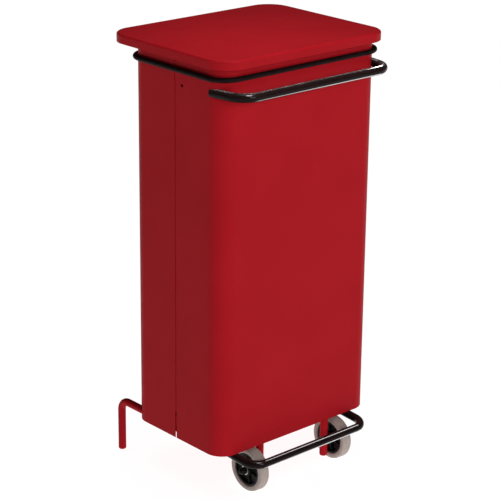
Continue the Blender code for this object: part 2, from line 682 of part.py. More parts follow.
# ---------------------------------------------------------------- push rod
def push_rod():
    corners = [Vector(c) for c in ((ROD_HOOK, ROD_Y, ROD_TOP), (0, ROD_Y, ROD_TOP),
                                   (0, ROD_Y, ROD_BOTTOM), (ROD_HOOK, ROD_Y, ROD_BOTTOM))]
    add("push_rod", tube_mesh(fillet(corners, [ROD_BEND] * 2, fine=5), ROD_RADIUS), ZINC, ROD_AXIS)
    clip_x = LUG_X + LUG_THICK + 0.0016
    clip = ring(0.0062, ROD_RADIUS + GAP, CLIP_HALF)
    for end, z in (("upper", ROD_TOP), ("lower", ROD_BOTTOM)):
        turned("push_rod_clip_" + end, clip, (clip_x, ROD_Y, z), X_AXIS, ZINC, ROD_AXIS, steps=12)


# ---------------------------------------------------------------- lid and its hinge
def lid_loop(inset, z):
    return loop(inset, z, BODY_W + 2 * LID_SIDE, -BODY_D / 2 - LID_FRONT, BODY_D / 2 + LID_REAR, LID_R)


def lid():
    rows = [lid_loop(0, LID_SKIRT_Z), lid_loop(0, LID_TOP - LID_EDGE_R)]
    for degrees in (30, 60, 90):
        angle = math.radians(degrees)
        rows.append(lid_loop(LID_EDGE_R * (1 - math.cos(angle)), LID_TOP - LID_EDGE_R * (1 - math.sin(angle))))
    sheet("lid_shell", rows, SHEET, RED, LID_AXIS, fill=True)

    height = LID_UNDER - RIM_TOP - 2 * GAP
    stop = [(0, height), (BUFFER_RADIUS, height), (BUFFER_RADIUS, 0.0012), (BUFFER_RADIUS - 0.0014, 0),
            (0, 0)]
    lip = BODY_W / 2 - SHEET - GAP - RIM_LIP / 2
    for hand, side in SIDES.items():
        for end, y in (("front", -BUFFER_Y), ("rear", BUFFER_Y)):
            turned("lid_buffer_" + end + "_" + hand, stop, (side * lip, y, RIM_TOP + GAP), Z_AXIS, BAND_BLACK,
                   LID_AXIS, steps=12, closed=False)


STRIP_TOP = LID_UNDER - GAP


def lid_bracket():
    """Strip under the lid with an ear at each end for the hinge pin, and the crank for the push rod."""
    strip = ((-LID_EAR_X - PLATE, STRIP_Y[0], STRIP_TOP - PLATE), (LID_EAR_X + PLATE, STRIP_Y[1], STRIP_TOP))
    bracket = add("lid_hinge_bracket", solids_mesh("lid_hinge_bracket", boxes=[strip]), RED, LID_AXIS)
    top = STRIP_TOP - PLATE / 2
    outline = [*arc((HINGE_Y, HINGE_Z), LID_EAR_RADIUS, -180, 0), (HINGE_Y + LID_EAR_RADIUS, top),
               (HINGE_Y - 0.014, top), (HINGE_Y - 0.014, top - 0.006)]
    hole = circle((HINGE_Y, HINGE_Z), HINGE_PIN_RADIUS + GAP)
    for hand, side in SIDES.items():
        inner = LID_EAR_X if side > 0 else -LID_EAR_X - PLATE
        ear = cutter("lid_ear_" + hand, plate_mesh(outline, inner - side * GAP, PLATE, [hole]), LID_AXIS)
        boolean(bracket, ear, "UNION")
    crank_top = STRIP_TOP - PLATE - GAP
    half = 0.007
    outline = [*arc((ROD_Y, ROD_TOP), half, -180, 0), (ROD_Y + half, crank_top), (ROD_Y - half, crank_top)]
    crank = plate_mesh(outline, LUG_X, LUG_THICK, [circle((ROD_Y, ROD_TOP), ROD_RADIUS + GAP)])
    add("lid_crank", crank, RED, LID_AXIS)


def hinge():
    wall = BODY_D / 2 + GAP
    root = wall + PLATE / 2
    ear = [(root, HINGE_BRACKET_Z[0] + 0.0015), (root, HINGE_BRACKET_Z[1] - 0.0015),
           (HINGE_Y - 0.0230, HINGE_BRACKET_Z[1] - 0.0015), (HINGE_Y - 0.0098, HINGE_Z - 0.0018)]
    ear += arc((HINGE_Y, HINGE_Z), 0.009, 170, 0, 9)
    ear += [(HINGE_Y + 0.0030, HINGE_Z - 0.0240), (HINGE_Y - 0.0060, HINGE_Z - 0.0390)]
    hole = circle((HINGE_Y, HINGE_Z), HINGE_PIN_RADIUS + GAP)
    clip = ring(0.0058, HINGE_PIN_RADIUS + GAP, CLIP_HALF)
    fastener = rivet(RIVET_HEAD, RIVET_SHANK, SHEET + PLATE + GAP * 2)
    for hand, side in SIDES.items():
        near = HINGE_BRACKET_X if side > 0 else -HINGE_BRACKET_X - PLATE
        bracket = add("hinge_bracket_" + hand, plate_mesh(ear, near, PLATE, [hole]), RED, CHASSIS)
        xs = sorted((side * (HINGE_BRACKET_X + PLATE / 2), side * (HINGE_BRACKET_X + HINGE_FLANGE)))
        box = ((xs[0], wall, HINGE_BRACKET_Z[0]), (xs[1], wall + PLATE, HINGE_BRACKET_Z[1]))
        flange = solids_mesh("flange", boxes=[box])
        boolean(bracket, cutter("hinge_flange_" + hand, flange, CHASSIS), "UNION")
        cut(bracket, CHASSIS, rods=rivet_holes(side))
        for place, z in RIVET_Z.items():
            turned("hinge_rivet_" + place + "_" + hand, fastener, (side * RIVET_X, wall + PLATE, z), Y_AXIS,
                   ZINC, CHASSIS, steps=10, closed=False)
        turned("hinge_pin_clip_" + hand, clip, (side * (HINGE_BRACKET_X + PLATE + 0.0010), HINGE_Y, HINGE_Z),
               X_AXIS, ZINC, CHASSIS, steps=12)
    half = HINGE_BRACKET_X + PLATE + SHAFT_END
    rod = [(0, half), (HINGE_PIN_RADIUS, half), (HINGE_PIN_RADIUS, -half), (0, -half)]
    turned("hinge_pin", rod, (0, HINGE_Y, HINGE_Z), X_AXIS, ZINC, CHASSIS, closed=False)


body_shells()
top_rim()
floor_pan()
sack_band()
handle()
base_frame()
front_legs()
axle()
wheels()
pedal()
pedal_pivot()
push_rod()
lid()
lid_bracket()
hinge()
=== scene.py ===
"""Looks of the pedal bin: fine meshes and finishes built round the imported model.

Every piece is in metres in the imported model's frame: +Z up, the front towards -Y. Places and sizes are read
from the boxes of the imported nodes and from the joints, so that each fine piece lies where its plain one lies.
"""

import json
from math import copysign, cos, pi, radians, sin, sqrt, tan

import bmesh
import bpy
from mathutils import Matrix, Vector, noise


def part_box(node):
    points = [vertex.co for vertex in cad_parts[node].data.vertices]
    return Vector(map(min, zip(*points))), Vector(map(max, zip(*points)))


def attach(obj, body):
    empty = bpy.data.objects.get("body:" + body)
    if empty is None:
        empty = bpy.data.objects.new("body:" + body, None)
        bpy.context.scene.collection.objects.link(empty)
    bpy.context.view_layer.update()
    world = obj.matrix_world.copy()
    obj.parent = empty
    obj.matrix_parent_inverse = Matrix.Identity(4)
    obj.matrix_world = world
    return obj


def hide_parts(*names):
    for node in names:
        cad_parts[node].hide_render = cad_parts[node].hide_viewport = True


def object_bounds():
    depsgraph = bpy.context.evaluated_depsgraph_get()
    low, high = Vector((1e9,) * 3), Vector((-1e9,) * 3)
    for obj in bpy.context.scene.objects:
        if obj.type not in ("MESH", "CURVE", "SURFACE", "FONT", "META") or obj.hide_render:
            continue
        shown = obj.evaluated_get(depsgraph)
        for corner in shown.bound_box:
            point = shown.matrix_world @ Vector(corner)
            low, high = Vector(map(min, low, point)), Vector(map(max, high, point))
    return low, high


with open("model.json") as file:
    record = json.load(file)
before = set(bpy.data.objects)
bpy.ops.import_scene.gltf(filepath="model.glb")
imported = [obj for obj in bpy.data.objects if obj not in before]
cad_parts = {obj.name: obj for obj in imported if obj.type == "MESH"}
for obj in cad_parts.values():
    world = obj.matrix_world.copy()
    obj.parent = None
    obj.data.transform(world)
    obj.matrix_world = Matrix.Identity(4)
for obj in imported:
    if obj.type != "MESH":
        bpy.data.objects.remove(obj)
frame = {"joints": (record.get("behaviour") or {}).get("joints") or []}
cad_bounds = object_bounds()
scene = bpy.context.scene
JOINTS = {joint["name"]: Vector(joint["pos_m"]) for joint in frame["joints"]}
HANDS = {"left": -1, "right": 1}
X_AXIS, Y_AXIS, Z_AXIS = Vector((1, 0, 0)), Vector((0, 1, 0)), Vector((0, 0, 1))


def low(node):
    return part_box(node)[0]


def high(node):
    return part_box(node)[1]


def middle(node):
    return (low(node) + high(node)) / 2


def edge_x(node, side):
    """The x at which a node's box ends on one side."""
    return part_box(node)[1 if side > 0 else 0].x


# -------- driving dimensions
SHEET = 0.0010
PLATE = 0.0020
BODY_R = 0.033
BODY_HALF = high("body_front_shell").x
BODY_FRONT = low("body_front_shell").y
BODY_REAR = high("body_rear_shell").y
BODY_MID = (BODY_FRONT + BODY_REAR) / 2
BODY_BOTTOM = low("body_front_shell").z
BODY_TOP = high("body_front_shell").z
SEAM_HALF_GAP = 0.0003
SEAM_FLANGE = 0.013
SEAM_RELIEF = 0.048                 # height of the slit at the foot of each seam
TUBE_WALL = 0.0015


def put(node, values):
    """Sets the values of a shader node's unlinked sockets."""
    for socket, value in values.items():
        node.inputs[socket].default_value = value


# -------- camera, lights and floor
CAMERA_AT = Vector((-1.991, -2.2085, 1.453))
CAMERA_HEADING = radians(-41.95)
CAMERA_DOWN = radians(19.67)
CAMERA_ROLL = radians(0.65)
CAMERA_LENS = 129.6
SKY = 0.06
KEY, KEY_WAY = 1.28, Vector((-0.06, -0.93, 0.36))
KEY_DISTANCE, KEY_WIDTH = 4.5, 2.0
TOP, TOP_WAY = 0.90, Vector((-0.08, -0.16, 0.985))
TOP_DISTANCE, TOP_WIDTH = 0.86, 0.4
FLOOR_LIGHT, FLOOR_LIGHT_SIZE = 3.3, 60
# lamps that draw the gloss lines along the black tubes of these bodies: strength, way and size in degrees
GLOSS_LINES = (
    ("chassis", 14, (0.63, 0.52, 0.57), 24),
    ("chassis", 12, (0.27, 0.70, 0.66), 20),
    ("chassis", 1.6, (0.63, 0.05, -0.77), 24),
    ("chassis", 9, (0.0, -0.40, 0.91), 20),
    ("pedal", 3.5, (0.63, 0.03, 0.78), 16),
    ("pedal", 1.5, (0.63, 0.05, -0.77), 24),
    ("pedal", 4, (0.0, -0.40, 0.91), 20),
)
FLOOR_RADIUS = 14


def make_camera():
    data = bpy.data.cameras.new("camera")
    data.lens = CAMERA_LENS
    data.sensor_width = 36
    camera = bpy.data.objects.new("camera", data)
    scene.collection.objects.link(camera)
    turn = (Matrix.Rotation(CAMERA_HEADING, 4, "Z") @ Matrix.Rotation(pi / 2 - CAMERA_DOWN, 4, "X")
            @ Matrix.Rotation(CAMERA_ROLL, 4, "Z"))
    camera.matrix_world = Matrix.Translation(CAMERA_AT) @ turn
    scene.camera = camera


def make_sun(name, way, strength, size):
    """A light from one side, as large as size degrees of the sky."""
    data = bpy.data.lights.new(name, "SUN")
    data.energy = strength
    data.angle = radians(size)
    lamp = bpy.data.objects.new(name, data)
    scene.collection.objects.link(lamp)
    lamp.matrix_world = Vector(way).to_track_quat("Z", "Y").to_matrix().to_4x4()
    return lamp


def make_softbox(name, way, strength, distance, width):
    """A round lamp at a distance from the middle of the bin; strength is the light that falls there."""
    data = bpy.data.lights.new(name, "AREA")
    data.shape = "DISK"
    data.size = width
    data.energy = strength * pi * distance ** 2
    lamp = bpy.data.objects.new(name, data)
    lamp.visible_camera = False
    scene.collection.objects.link(lamp)
    middle_of_bin = sum(cad_bounds, Vector()) / 2
    turn = way.to_track_quat("Z", "Y").to_matrix().to_4x4()
    lamp.matrix_world = Matrix.Translation(middle_of_bin + way * distance) @ turn
    return lamp


def leave_unlit(lamp, obj):
    """Keeps a lamp's light off one object."""
    left_out = bpy.data.collections.new(lamp.name + "_leaves")
    left_out.objects.link(obj)
    left_out.collection_objects[0].light_linking.link_state = "EXCLUDE"
    lamp.light_linking.receiver_collection = left_out


def make_studio():
    scene.view_settings.view_transform = "Standard"
    world = bpy.data.worlds.new("studio")
    scene.world = world
    world.use_nodes = True
    nodes, links = world.node_tree.nodes, world.node_tree.links
    background = nodes["Background"]
    put(background, {"Color": (1, 1, 1, 1)})
    # the backdrop is as white as the floor, and lights the bin only faintly
    strength = nodes.new("ShaderNodeMapRange")
    put(strength, {"To Min": SKY, "To Max": 1})
    links.new(nodes.new("ShaderNodeLightPath").outputs["Is Camera Ray"], strength.inputs["Value"])
    links.new(strength.outputs["Result"], background.inputs["Strength"])

    bm = bmesh.new()
    bmesh.ops.create_circle(bm, cap_ends=True, segments=96, radius=FLOOR_RADIUS)
    mesh = bpy.data.meshes.new("floor")
    bm.to_mesh(mesh)
    bm.free()
    floor = bpy.data.objects.new("floor", mesh)
    scene.collection.objects.link(floor)
    floor.location.z = -0.0002
    pale = bpy.data.materials.new("floor_white")
    pale.use_nodes = True
    put(pale.node_tree.nodes["Principled BSDF"],
        {"Base Color": (0.93, 0.93, 0.93, 1), "Roughness": 0.8, "Specular IOR Level": 0.1})
    mesh.materials.append(pale)
    # the floor has a light of its own, which the bin doesn't shade, so no shadow falls across it
    leave_unlit(make_softbox("key", KEY_WAY, KEY, KEY_DISTANCE, KEY_WIDTH), floor)
    leave_unlit(make_softbox("overhead", TOP_WAY, TOP, TOP_DISTANCE, TOP_WIDTH), floor)
    over_floor = make_sun("floor_light", Z_AXIS, FLOOR_LIGHT, FLOOR_LIGHT_SIZE)
    only_floor = bpy.data.collections.new("only_floor")
    only_floor.objects.link(floor)
    over_floor.light_linking.receiver_collection = only_floor
    over_floor.light_linking.blocker_collection = only_floor
    tubes = {body: bpy.data.collections.new("black_tubes_" + body) for body in ("chassis", "pedal")}
    for body, strength, way, size in GLOSS_LINES:
        lamp = make_sun("gloss_line", way, strength, size)
        lamp.light_linking.receiver_collection = tubes[body]
        lamp.light_linking.blocker_collection = tubes[body]
    return tubes


# -------- materials
NOISE_LOW, NOISE_HIGH = 0.3, 0.7    # most of a noise's values lie between these


class Finish:
    """A Principled material whose colour, roughness and relief vary with the place on the piece."""

    def __init__(self, name, rgb, roughness, metallic=0.0, specular=0.5):
        self.material = bpy.data.materials.new(name)
        self.material.use_nodes = True
        self.nodes = self.material.node_tree.nodes
        self.links = self.material.node_tree.links
        self.shader = self.nodes["Principled BSDF"]
        put(self.shader, {"Base Color": (*rgb, 1), "Roughness": roughness, "Metallic": metallic,
                          "Specular IOR Level": specular})
        self.place = self.nodes.new("ShaderNodeTexCoord").outputs["Object"]
        self.normal = None

    def noise(self, size, detail):
        """Noise whose features are about size metres across."""
        texture = self.nodes.new("ShaderNodeTexNoise")
        put(texture, {"Scale": 1 / size, "Detail": detail})
        self.links.new(self.place, texture.inputs["Vector"])
        return texture.outputs["Fac"]

    def spread(self, value, start, end, low_value, high_value):
        """The value's stretch from start to end, remapped and clamped."""
        node = self.nodes.new("ShaderNodeMapRange")
        put(node, {"From Min": start, "From Max": end, "To Min": low_value, "To Max": high_value})
        self.links.new(value, node.inputs["Value"])
        return node.outputs["Result"]

    def clouds(self, size, detail, rgb_low, rgb_high):
        """Base colour that wanders between two colours in clouds of about size metres."""
        mottle = self.spread(self.noise(size, detail), NOISE_LOW, NOISE_HIGH, 0, 1)
        return self.tint(mottle, rgb_low, rgb_high)

    def tint(self, value, rgb_low, rgb_high):
        """Base colour between two colours; without the first, the second lies over what is there already."""
        mix = self.nodes.new("ShaderNodeMix")
        mix.data_type = "RGBA"
        base = self.shader.inputs["Base Color"]
        if rgb_low is None:
            self.links.new(base.links[0].from_socket, mix.inputs["A"])
        else:
            mix.inputs["A"].default_value = (*rgb_low, 1)
        mix.inputs["B"].default_value = (*rgb_high, 1)
        self.links.new(value, mix.inputs["Factor"])
        self.links.new(mix.outputs["Result"], base)
        return self

    def gloss(self, size, detail, smooth_value, rough_value, start=NOISE_LOW, end=NOISE_HIGH):
        """Roughness that wanders between two values in patches of about size metres."""
        patches = self.spread(self.noise(size, detail), start, end, smooth_value, rough_value)
        self.links.new(patches, self.shader.inputs["Roughness"])
        return self

    def relief(self, value, depth, strength):
        bump = self.nodes.new("ShaderNodeBump")
        put(bump, {"Strength": strength, "Distance": depth})
        self.links.new(value, bump.inputs["Height"])
        if self.normal is not None:
            self.links.new(self.normal, bump.inputs["Normal"])
        self.normal = bump.outputs["Normal"]
        self.links.new(self.normal, self.shader.inputs["Normal"])
        return self


def red_enamel():
    """Stove enamel on sheet and tube: satin, faintly clouded, with fine orange peel."""
    made = Finish("red_enamel", (0.40, 0.0081, 0.0139), 0.42, specular=0.03)
    made.clouds(0.11, 3, (0.385, 0.0074, 0.0128), (0.415, 0.0088, 0.0150))
    specks = made.spread(made.noise(0.0016, 1), 0.78, 0.84, 0, 0.30)
    made.tint(specks, None, (0.48, 0.03, 0.04))
    made.gloss(0.03, 4, 0.36, 0.46)
    made.relief(made.noise(0.0022, 2), 0.00005, 0.4)
    made.relief(made.noise(0.16, 1), 0.0009, 0.25)
    return made.material


def black_enamel():
    """Gloss enamel on the handle and the pedal, with faint scuffs."""
    made = Finish("black_enamel", (0.0045, 0.0022, 0.0022), 0.10, specular=0.08)
    made.clouds(0.02, 3, (0.0036, 0.0018, 0.0018), (0.0056, 0.0028, 0.0028))
    made.gloss(0.02, 4, 0.07, 0.15, 0.35, 0.75)
    made.relief(made.noise(0.0060, 2), 0.00003, 0.3)
    return made.material


def zinc_plate():
    """Bright zinc on rods and fasteners, slightly clouded and finely drawn."""
    made = Finish("zinc_plate", (0.60, 0.60, 0.58), 0.32, metallic=1.0)
    made.clouds(0.006, 4, (0.57, 0.575, 0.575), (0.64, 0.635, 0.61))
    made.gloss(0.003, 4, 0.32, 0.42)
    made.relief(made.noise(0.0006, 3), 0.00002, 0.3)
    return made.material


def hub_plastic():
    """Black moulded plastic, dull and finely grained."""
    made = Finish("hub_plastic", (0.006, 0.0048, 0.0048), 0.45, specular=0.12)
    made.clouds(0.01, 3, (0.0045, 0.0036, 0.0036), (0.0080, 0.0064, 0.0064))
    made.gloss(0.004, 3, 0.38, 0.55)
    made.relief(made.noise(0.0007, 2), 0.00005, 0.7)
    return made.material


def tyre_rubber():
    """Grey non-marking rubber: matt, mottled, a little dirt ground into the tread."""
    made = Finish("tyre_rubber", (0.42, 0.36, 0.33), 0.62, specular=0.2)
    made.clouds(0.009, 4, (0.385, 0.33, 0.30), (0.455, 0.39, 0.36))
    dirt = made.spread(made.noise(0.0035, 5), 0.60, 0.75, 0, 0.45)
    made.tint(dirt, None, (0.24, 0.20, 0.18))
    made.gloss(0.005, 3, 0.52, 0.72)
    made.relief(made.noise(0.0009, 3), 0.00012, 0.6)
    return made.material


def black_rubber():
    """Soft black rubber of the sack ring and the lid's buffers: matt, slightly bloomed."""
    made = Finish("black_rubber", (0.010, 0.0055, 0.0055), 0.5, specular=0.06)
    made.clouds(0.012, 4, (0.008, 0.0044, 0.0044), (0.013, 0.0072, 0.0072))
    made.gloss(0.006, 4, 0.42, 0.60)
    made.relief(made.noise(0.0012, 3), 0.00008, 0.6)
    return made.material


MAKERS = (red_enamel, black_enamel, zinc_plate, hub_plastic, tyre_rubber, black_rubber)
FINISHES = {make.__name__: make() for make in MAKERS}


# -------- building blocks
SMOOTH_ANGLE = radians(38)     # sharper edges than this keep their crease
SOFT_ANGLE = radians(12)       # a profile's flatter corners aren't rounded
SOFT_SHARE = 0.45                   # of the shorter side next to a corner is the most that its rounding takes
SOFT_STEPS = 3
HOLE_SIDES = 32
QUARTER = [radians(degrees) for degrees in range(0, 91, 10)]
BEAD_STEP = 0.0004                  # along a weld bead
POOL_DIP, POOL_TURN = 0.12, 0.62    # the bead thins by this share between pools, which turn so far a step
BEAD_UNEVEN, BEAD_WAVES = 0.10, 220
BEAD_END_STEPS = 5                  # over which the bead sinks away


def soft_edges(mesh):
    mesh.shade_smooth()
    mesh.set_sharp_from_angle(angle=SMOOTH_ANGLE)


def mesh_object(name, bm):
    mesh = bpy.data.meshes.new(name)
    bm.to_mesh(mesh)
    bm.free()
    soft_edges(mesh)
    obj = bpy.data.objects.new(name, mesh)
    scene.collection.objects.link(obj)
    return obj


def finish(obj, slot, body, *nodes):
    """Gives a piece its finish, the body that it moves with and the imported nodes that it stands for."""
    obj.data.materials.clear()
    obj.data.materials.append(FINISHES[slot])
    if slot == "black_enamel":
        BLACK_TUBES[body].objects.link(obj)
    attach(obj, body)
    if nodes:
        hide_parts(*nodes)
    return obj


def settled(obj):
    """The object with its modifiers made part of its mesh."""
    bpy.context.view_layer.update()
    graph = bpy.context.evaluated_depsgraph_get()
    mesh = bpy.data.meshes.new_from_object(obj.evaluated_get(graph))
    obj.modifiers.clear()
    obj.data = mesh
    soft_edges(mesh)
    return obj


def bevelled(obj, width, segments, angle=40):
    bevel = obj.modifiers.new("edges", "BEVEL")
    bevel.width = width
    bevel.segments = segments
    bevel.limit_method = "ANGLE"
    bevel.angle_limit = radians(angle)
    bevel.harden_normals = True
    return obj


def flat_faces(obj):
    """Lets the large faces set the shading, so that no bend bleeds across a flat side."""
    weighted = obj.modifiers.new("flat_faces", "WEIGHTED_NORMAL")
    weighted.keep_sharp = True
    return obj


def combined(obj, other, operation="DIFFERENCE"):
    """obj cut or joined by other, which is used up."""
    modifier = obj.modifiers.new("cut", "BOOLEAN")
    modifier.operation = operation
    modifier.solver = "EXACT"
    modifier.object = other
    settled(obj)
    bpy.data.objects.remove(other)
    return obj


def together(name, objects):
    """One object made of several, each with its modifiers applied."""
    bm = bmesh.new()
    for obj in objects:
        settled(obj)
        obj.data.transform(obj.matrix_world)
        bm.from_mesh(obj.data)
        bpy.data.objects.remove(obj)
    return mesh_object(name, bm)


def arc_points(corner, before, after, radius, steps):
    """Points of the arc that rounds one corner of a line."""
    back, ahead = (before - corner).normalized(), (after - corner).normalized()
    turn = pi - back.angle(ahead)
    centre = corner + (back + ahead).normalized() * radius / cos(turn / 2)
    start = corner + back * radius * tan(turn / 2) - centre
    end = corner + ahead * radius * tan(turn / 2) - centre
    parts = [i / steps for i in range(steps + 1)]
    return [centre + (start * sin((1 - t) * turn) + end * sin(t * turn)) / sin(turn) for t in parts]


def fillet(corners, radii, fine=24):
    """The line through corners with its inner corners rounded, fine points to a quarter turn."""
    path = [corners[0]]
    for before, corner, after, radius in zip(corners, corners[1:], corners[2:], radii):
        turn = (corner - before).angle(after - corner)
        path += arc_points(corner, before, after, radius, max(4, round(fine * turn / (pi / 2))))
    return path + [corners[-1]]


def softened(points, radius, closed):
    """A profile with its corners rounded; an open profile keeps its two ends."""
    points = [point for i, point in enumerate(points) if i == 0 or (point - points[i - 1]).length > 1e-6]
    rounded = []
    count = len(points)
    for i, point in enumerate(points):
        before, after = points[i - 1], points[(i + 1) % count]
        if not closed and i in (0, count - 1):
            rounded.append(point)
            continue
        turn = (point - before).angle(after - point)
        if turn < SOFT_ANGLE:
            rounded.append(point)
            continue
        room = SOFT_SHARE * min((point - before).length, (after - point).length)
        size = min(radius, room / tan(turn / 2))
        rounded += arc_points(point, before, after, size, SOFT_STEPS)
    return rounded


def lathe(name, profile, centre, axis, soft=0.0003, segments=64):
    """A (radius, height) profile turned about an axis through centre, with its corners rounded.

    A profile that starts on the axis ends there too; any other one runs round a ring.
    """
    closed = profile[0][0] > 0
    points = softened([Vector((r, h, 0)) for r, h in profile], soft, closed)
    bm = bmesh.new()
    rings = []
    for point in points:
        if point.x < 1e-7:
            rings.append([bm.verts.new((0, 0, point.y))] * segments)
            continue
        angles = [2 * pi * i / segments for i in range(segments)]
        rings.append([bm.verts.new((point.x * cos(a), point.x * sin(a), point.y)) for a in angles])
    pairs = list(zip(rings, rings[1:])) + ([(rings[-1], rings[0])] if closed else [])
    for first, second in pairs:
        for i in range(segments):
            j = (i + 1) % segments
            corners = list(dict.fromkeys((first[i], second[i], second[j], first[j])))
            if len(corners) > 2:
                bm.faces.new(corners)
    bmesh.ops.recalc_face_normals(bm, faces=bm.faces)
    turn = Z_AXIS.rotation_difference(Vector(axis)).to_matrix().to_4x4()
    bmesh.ops.transform(bm, matrix=Matrix.Translation(centre) @ turn, verts=bm.verts)
    return mesh_object(name, bm)


def both_ways(half):
    """One half of a (radius, height) profile followed by its mirror image."""
    return half + [(r, -h) for r, h in reversed(half)]


def frames_along(path, cyclic):
    """(point, side, up) at each point of a path, turning as little as possible on the way."""
    count = len(path)
    tangents = []
    for i in range(count):
        after = path[(i + 1) % count] if cyclic else path[min(i + 1, count - 1)]
        before = path[i - 1] if cyclic else path[max(i - 1, 0)]
        tangents.append((after - before).normalized())
    side = tangents[0].orthogonal().normalized()
    if abs(tangents[0].z) < 0.9:
        side = tangents[0].cross(Z_AXIS).normalized()
    made = []
    for point, along in zip(path, tangents):
        side = (side - along * side.dot(along)).normalized()
        made.append((point, side, side.cross(along)))
    return made


def join_rows(bm, first, second, cyclic=True):
    """Faces between two rows of vertices."""
    count = len(first)
    for i in range(count if cyclic else count - 1):
        j = (i + 1) % count
        bm.faces.new((first[i], first[j], second[j], second[i]))


def sweep(name, path, radius, sides, wall=None, cyclic=False, ripple=None):
    """A round tube or wire along a path; wall makes it hollow, and ripple(i) scales the radius at point i."""
    bm = bmesh.new()
    sections = [radius] if wall is None else [radius, radius - wall]
    skins = []
    for size in sections:
        rings = []
        for i, (point, side, up) in enumerate(frames_along(path, cyclic)):
            here = size * (ripple(i) if ripple else 1)
            angles = [2 * pi * k / sides for k in range(sides)]
            rings.append([bm.verts.new(point + (side * cos(a) + up * sin(a)) * here) for a in angles])
        skins.append(rings)
        pairs = list(zip(rings, rings[1:])) + ([(rings[-1], rings[0])] if cyclic else [])
        for first, second in pairs:
            join_rows(bm, first, second)
    if not cyclic:
        for end in (0, -1):
            if wall is None:
                bm.faces.new(skins[0][end])
            else:
                join_rows(bm, skins[0][end], skins[1][end])
    bmesh.ops.recalc_face_normals(bm, faces=bm.faces)
    return mesh_object(name, bm)


def weld_bead(path, seed, radius=0.0016):
    """A weld seam: a thin bead with the ripples of its pools, sinking away at its ends."""
    fine = []
    for start, end in zip(path, path[1:]):
        steps = max(1, round((end - start).length / BEAD_STEP))
        fine += [start.lerp(end, i / steps) for i in range(steps)]
    fine.append(path[-1])
    count = len(fine)
    closed = (path[0] - path[-1]).length < 1e-6

    def ripple(i):
        pool = 1 - POOL_DIP + POOL_DIP * abs(sin(i * POOL_TURN + seed))
        uneven = 1 + BEAD_UNEVEN * noise.noise(fine[i] * BEAD_WAVES + Vector((seed, 0, 0)))
        taper = 1 if closed else min(1, sqrt((min(i, count - 1 - i) + 0.6) / BEAD_END_STEPS))
        return pool * uneven * taper

    return sweep("bead", fine, radius, sides=10, ripple=ripple)


def bead_along(x, start, end, z, seed, radius=0.0016):
    """A bead that runs straight from one y to another."""
    return weld_bead([Vector((x, start, z)), Vector((x, end, z))], seed, radius)


def rounded_loop(inset, z, half=BODY_HALF, front=BODY_FRONT, rear=BODY_REAR, radius=BODY_R, fine=24):
    """A rounded rectangle seen from above, anticlockwise, drawn in by inset."""
    x, y0, y1, r = half - inset, front + inset, rear - inset, max(radius - inset, 0.0008)
    around = ((0, y0), (x, y0), (x, y1), (-x, y1), (-x, y0), (0, y0))
    return fillet([Vector((*place, z)) for place in around], [r] * 4, fine)[:-1]


def skin(name, rows, thickness, cyclic=True, fill=False, flip=False):
    """Rows of points joined into a sheet, thickened away from its outer side."""
    bm = bmesh.new()
    verts = [[bm.verts.new(place) for place in row] for row in rows]
    for first, second in zip(verts, verts[1:]):
        join_rows(bm, first, second, cyclic)
    if fill:
        bm.faces.new(verts[-1])
    if flip:
        bmesh.ops.reverse_faces(bm, faces=bm.faces)
    obj = mesh_object(name, bm)
    solid = obj.modifiers.new("thickness", "SOLIDIFY")
    solid.thickness = thickness
    solid.offset = -1
    solid.use_even_offset = True
    return settled(obj)


def block(name, lowest, highest):
    lowest, highest = Vector(lowest), Vector(highest)
    bm = bmesh.new()
    place = Matrix.Translation((lowest + highest) / 2) @ Matrix.Diagonal((*(highest - lowest), 1))
    bmesh.ops.create_cube(bm, size=1, matrix=place)
    return mesh_object(name, bm)


def rod_between(name, start, end, radius, segments=48):
    return sweep(name, [Vector(start), Vector(end)], radius, sides=segments)


def arc(centre, radius, start, end, steps=16):
    """(y, z) points of an arc between two angles in degrees."""
    turn = [radians(start + (end - start) * i / steps) for i in range(steps + 1)]
    return [(centre[0] + radius * cos(a), centre[1] + radius * sin(a)) for a in turn]


def plate(name, outline, x, thickness, holes=(), soft=0.0004):
    """A flat plate across X from (y, z) points, with its edges eased."""
    curve = bpy.data.curves.new(name, "CURVE")
    curve.dimensions = "2D"
    curve.fill_mode = "BOTH"
    curve.extrude = thickness / 2
    for points in (outline, *holes):
        spline = curve.splines.new("POLY")
        spline.points.add(len(points) - 1)
        for point, (y, z) in zip(spline.points, points):
            point.co = (y, z, 0, 1)
        spline.use_cyclic_u = True
    temporary = bpy.data.objects.new(name + "_outline", curve)
    scene.collection.objects.link(temporary)
    bpy.context.view_layer.update()
    graph = bpy.context.evaluated_depsgraph_get()
    mesh = bpy.data.meshes.new_from_object(temporary.evaluated_get(graph))
    bpy.data.objects.remove(temporary)
    across = Matrix(((0, 0, 1, x + thickness / 2), (1, 0, 0, 0), (0, 1, 0, 0), (0, 0, 0, 1)))
    bm = bmesh.new()
    bm.from_mesh(mesh)
    bmesh.ops.transform(bm, matrix=across, verts=bm.verts)
    bmesh.ops.remove_doubles(bm, verts=bm.verts, dist=0.00001)
    bmesh.ops.dissolve_limit(bm, angle_limit=radians(1), verts=bm.verts, edges=bm.edges)
    obj = mesh_object(name, bm)
    return settled(bevelled(obj, soft, 2, 50))


def circle(centre, radius):
    return arc(centre, radius, 0, 360, HOLE_SIDES)[:-1]


# -------- body
FLANGE_X = BODY_HALF - SEAM_FLANGE
SEAM_BEND = 0.0017
SLIT_HALF = 0.0016
RIM_ROOM = 0.004                    # half of the width that the seam's flanges leave free for the rim
SIDE_HOLE_Y, SIDE_HOLE_Z, SIDE_HOLE_R = BODY_MID - 0.018, 0.720, 0.00275
FRAME_HOLE_GAP, FRAME_HOLE_DEPTH = 0.0008, 0.05
LUG_NOTCH_GAP, LUG_NOTCH_TOP = 0.003, 0.106
CUT_PAST = 0.01                     # how far a cutter runs past what it cuts


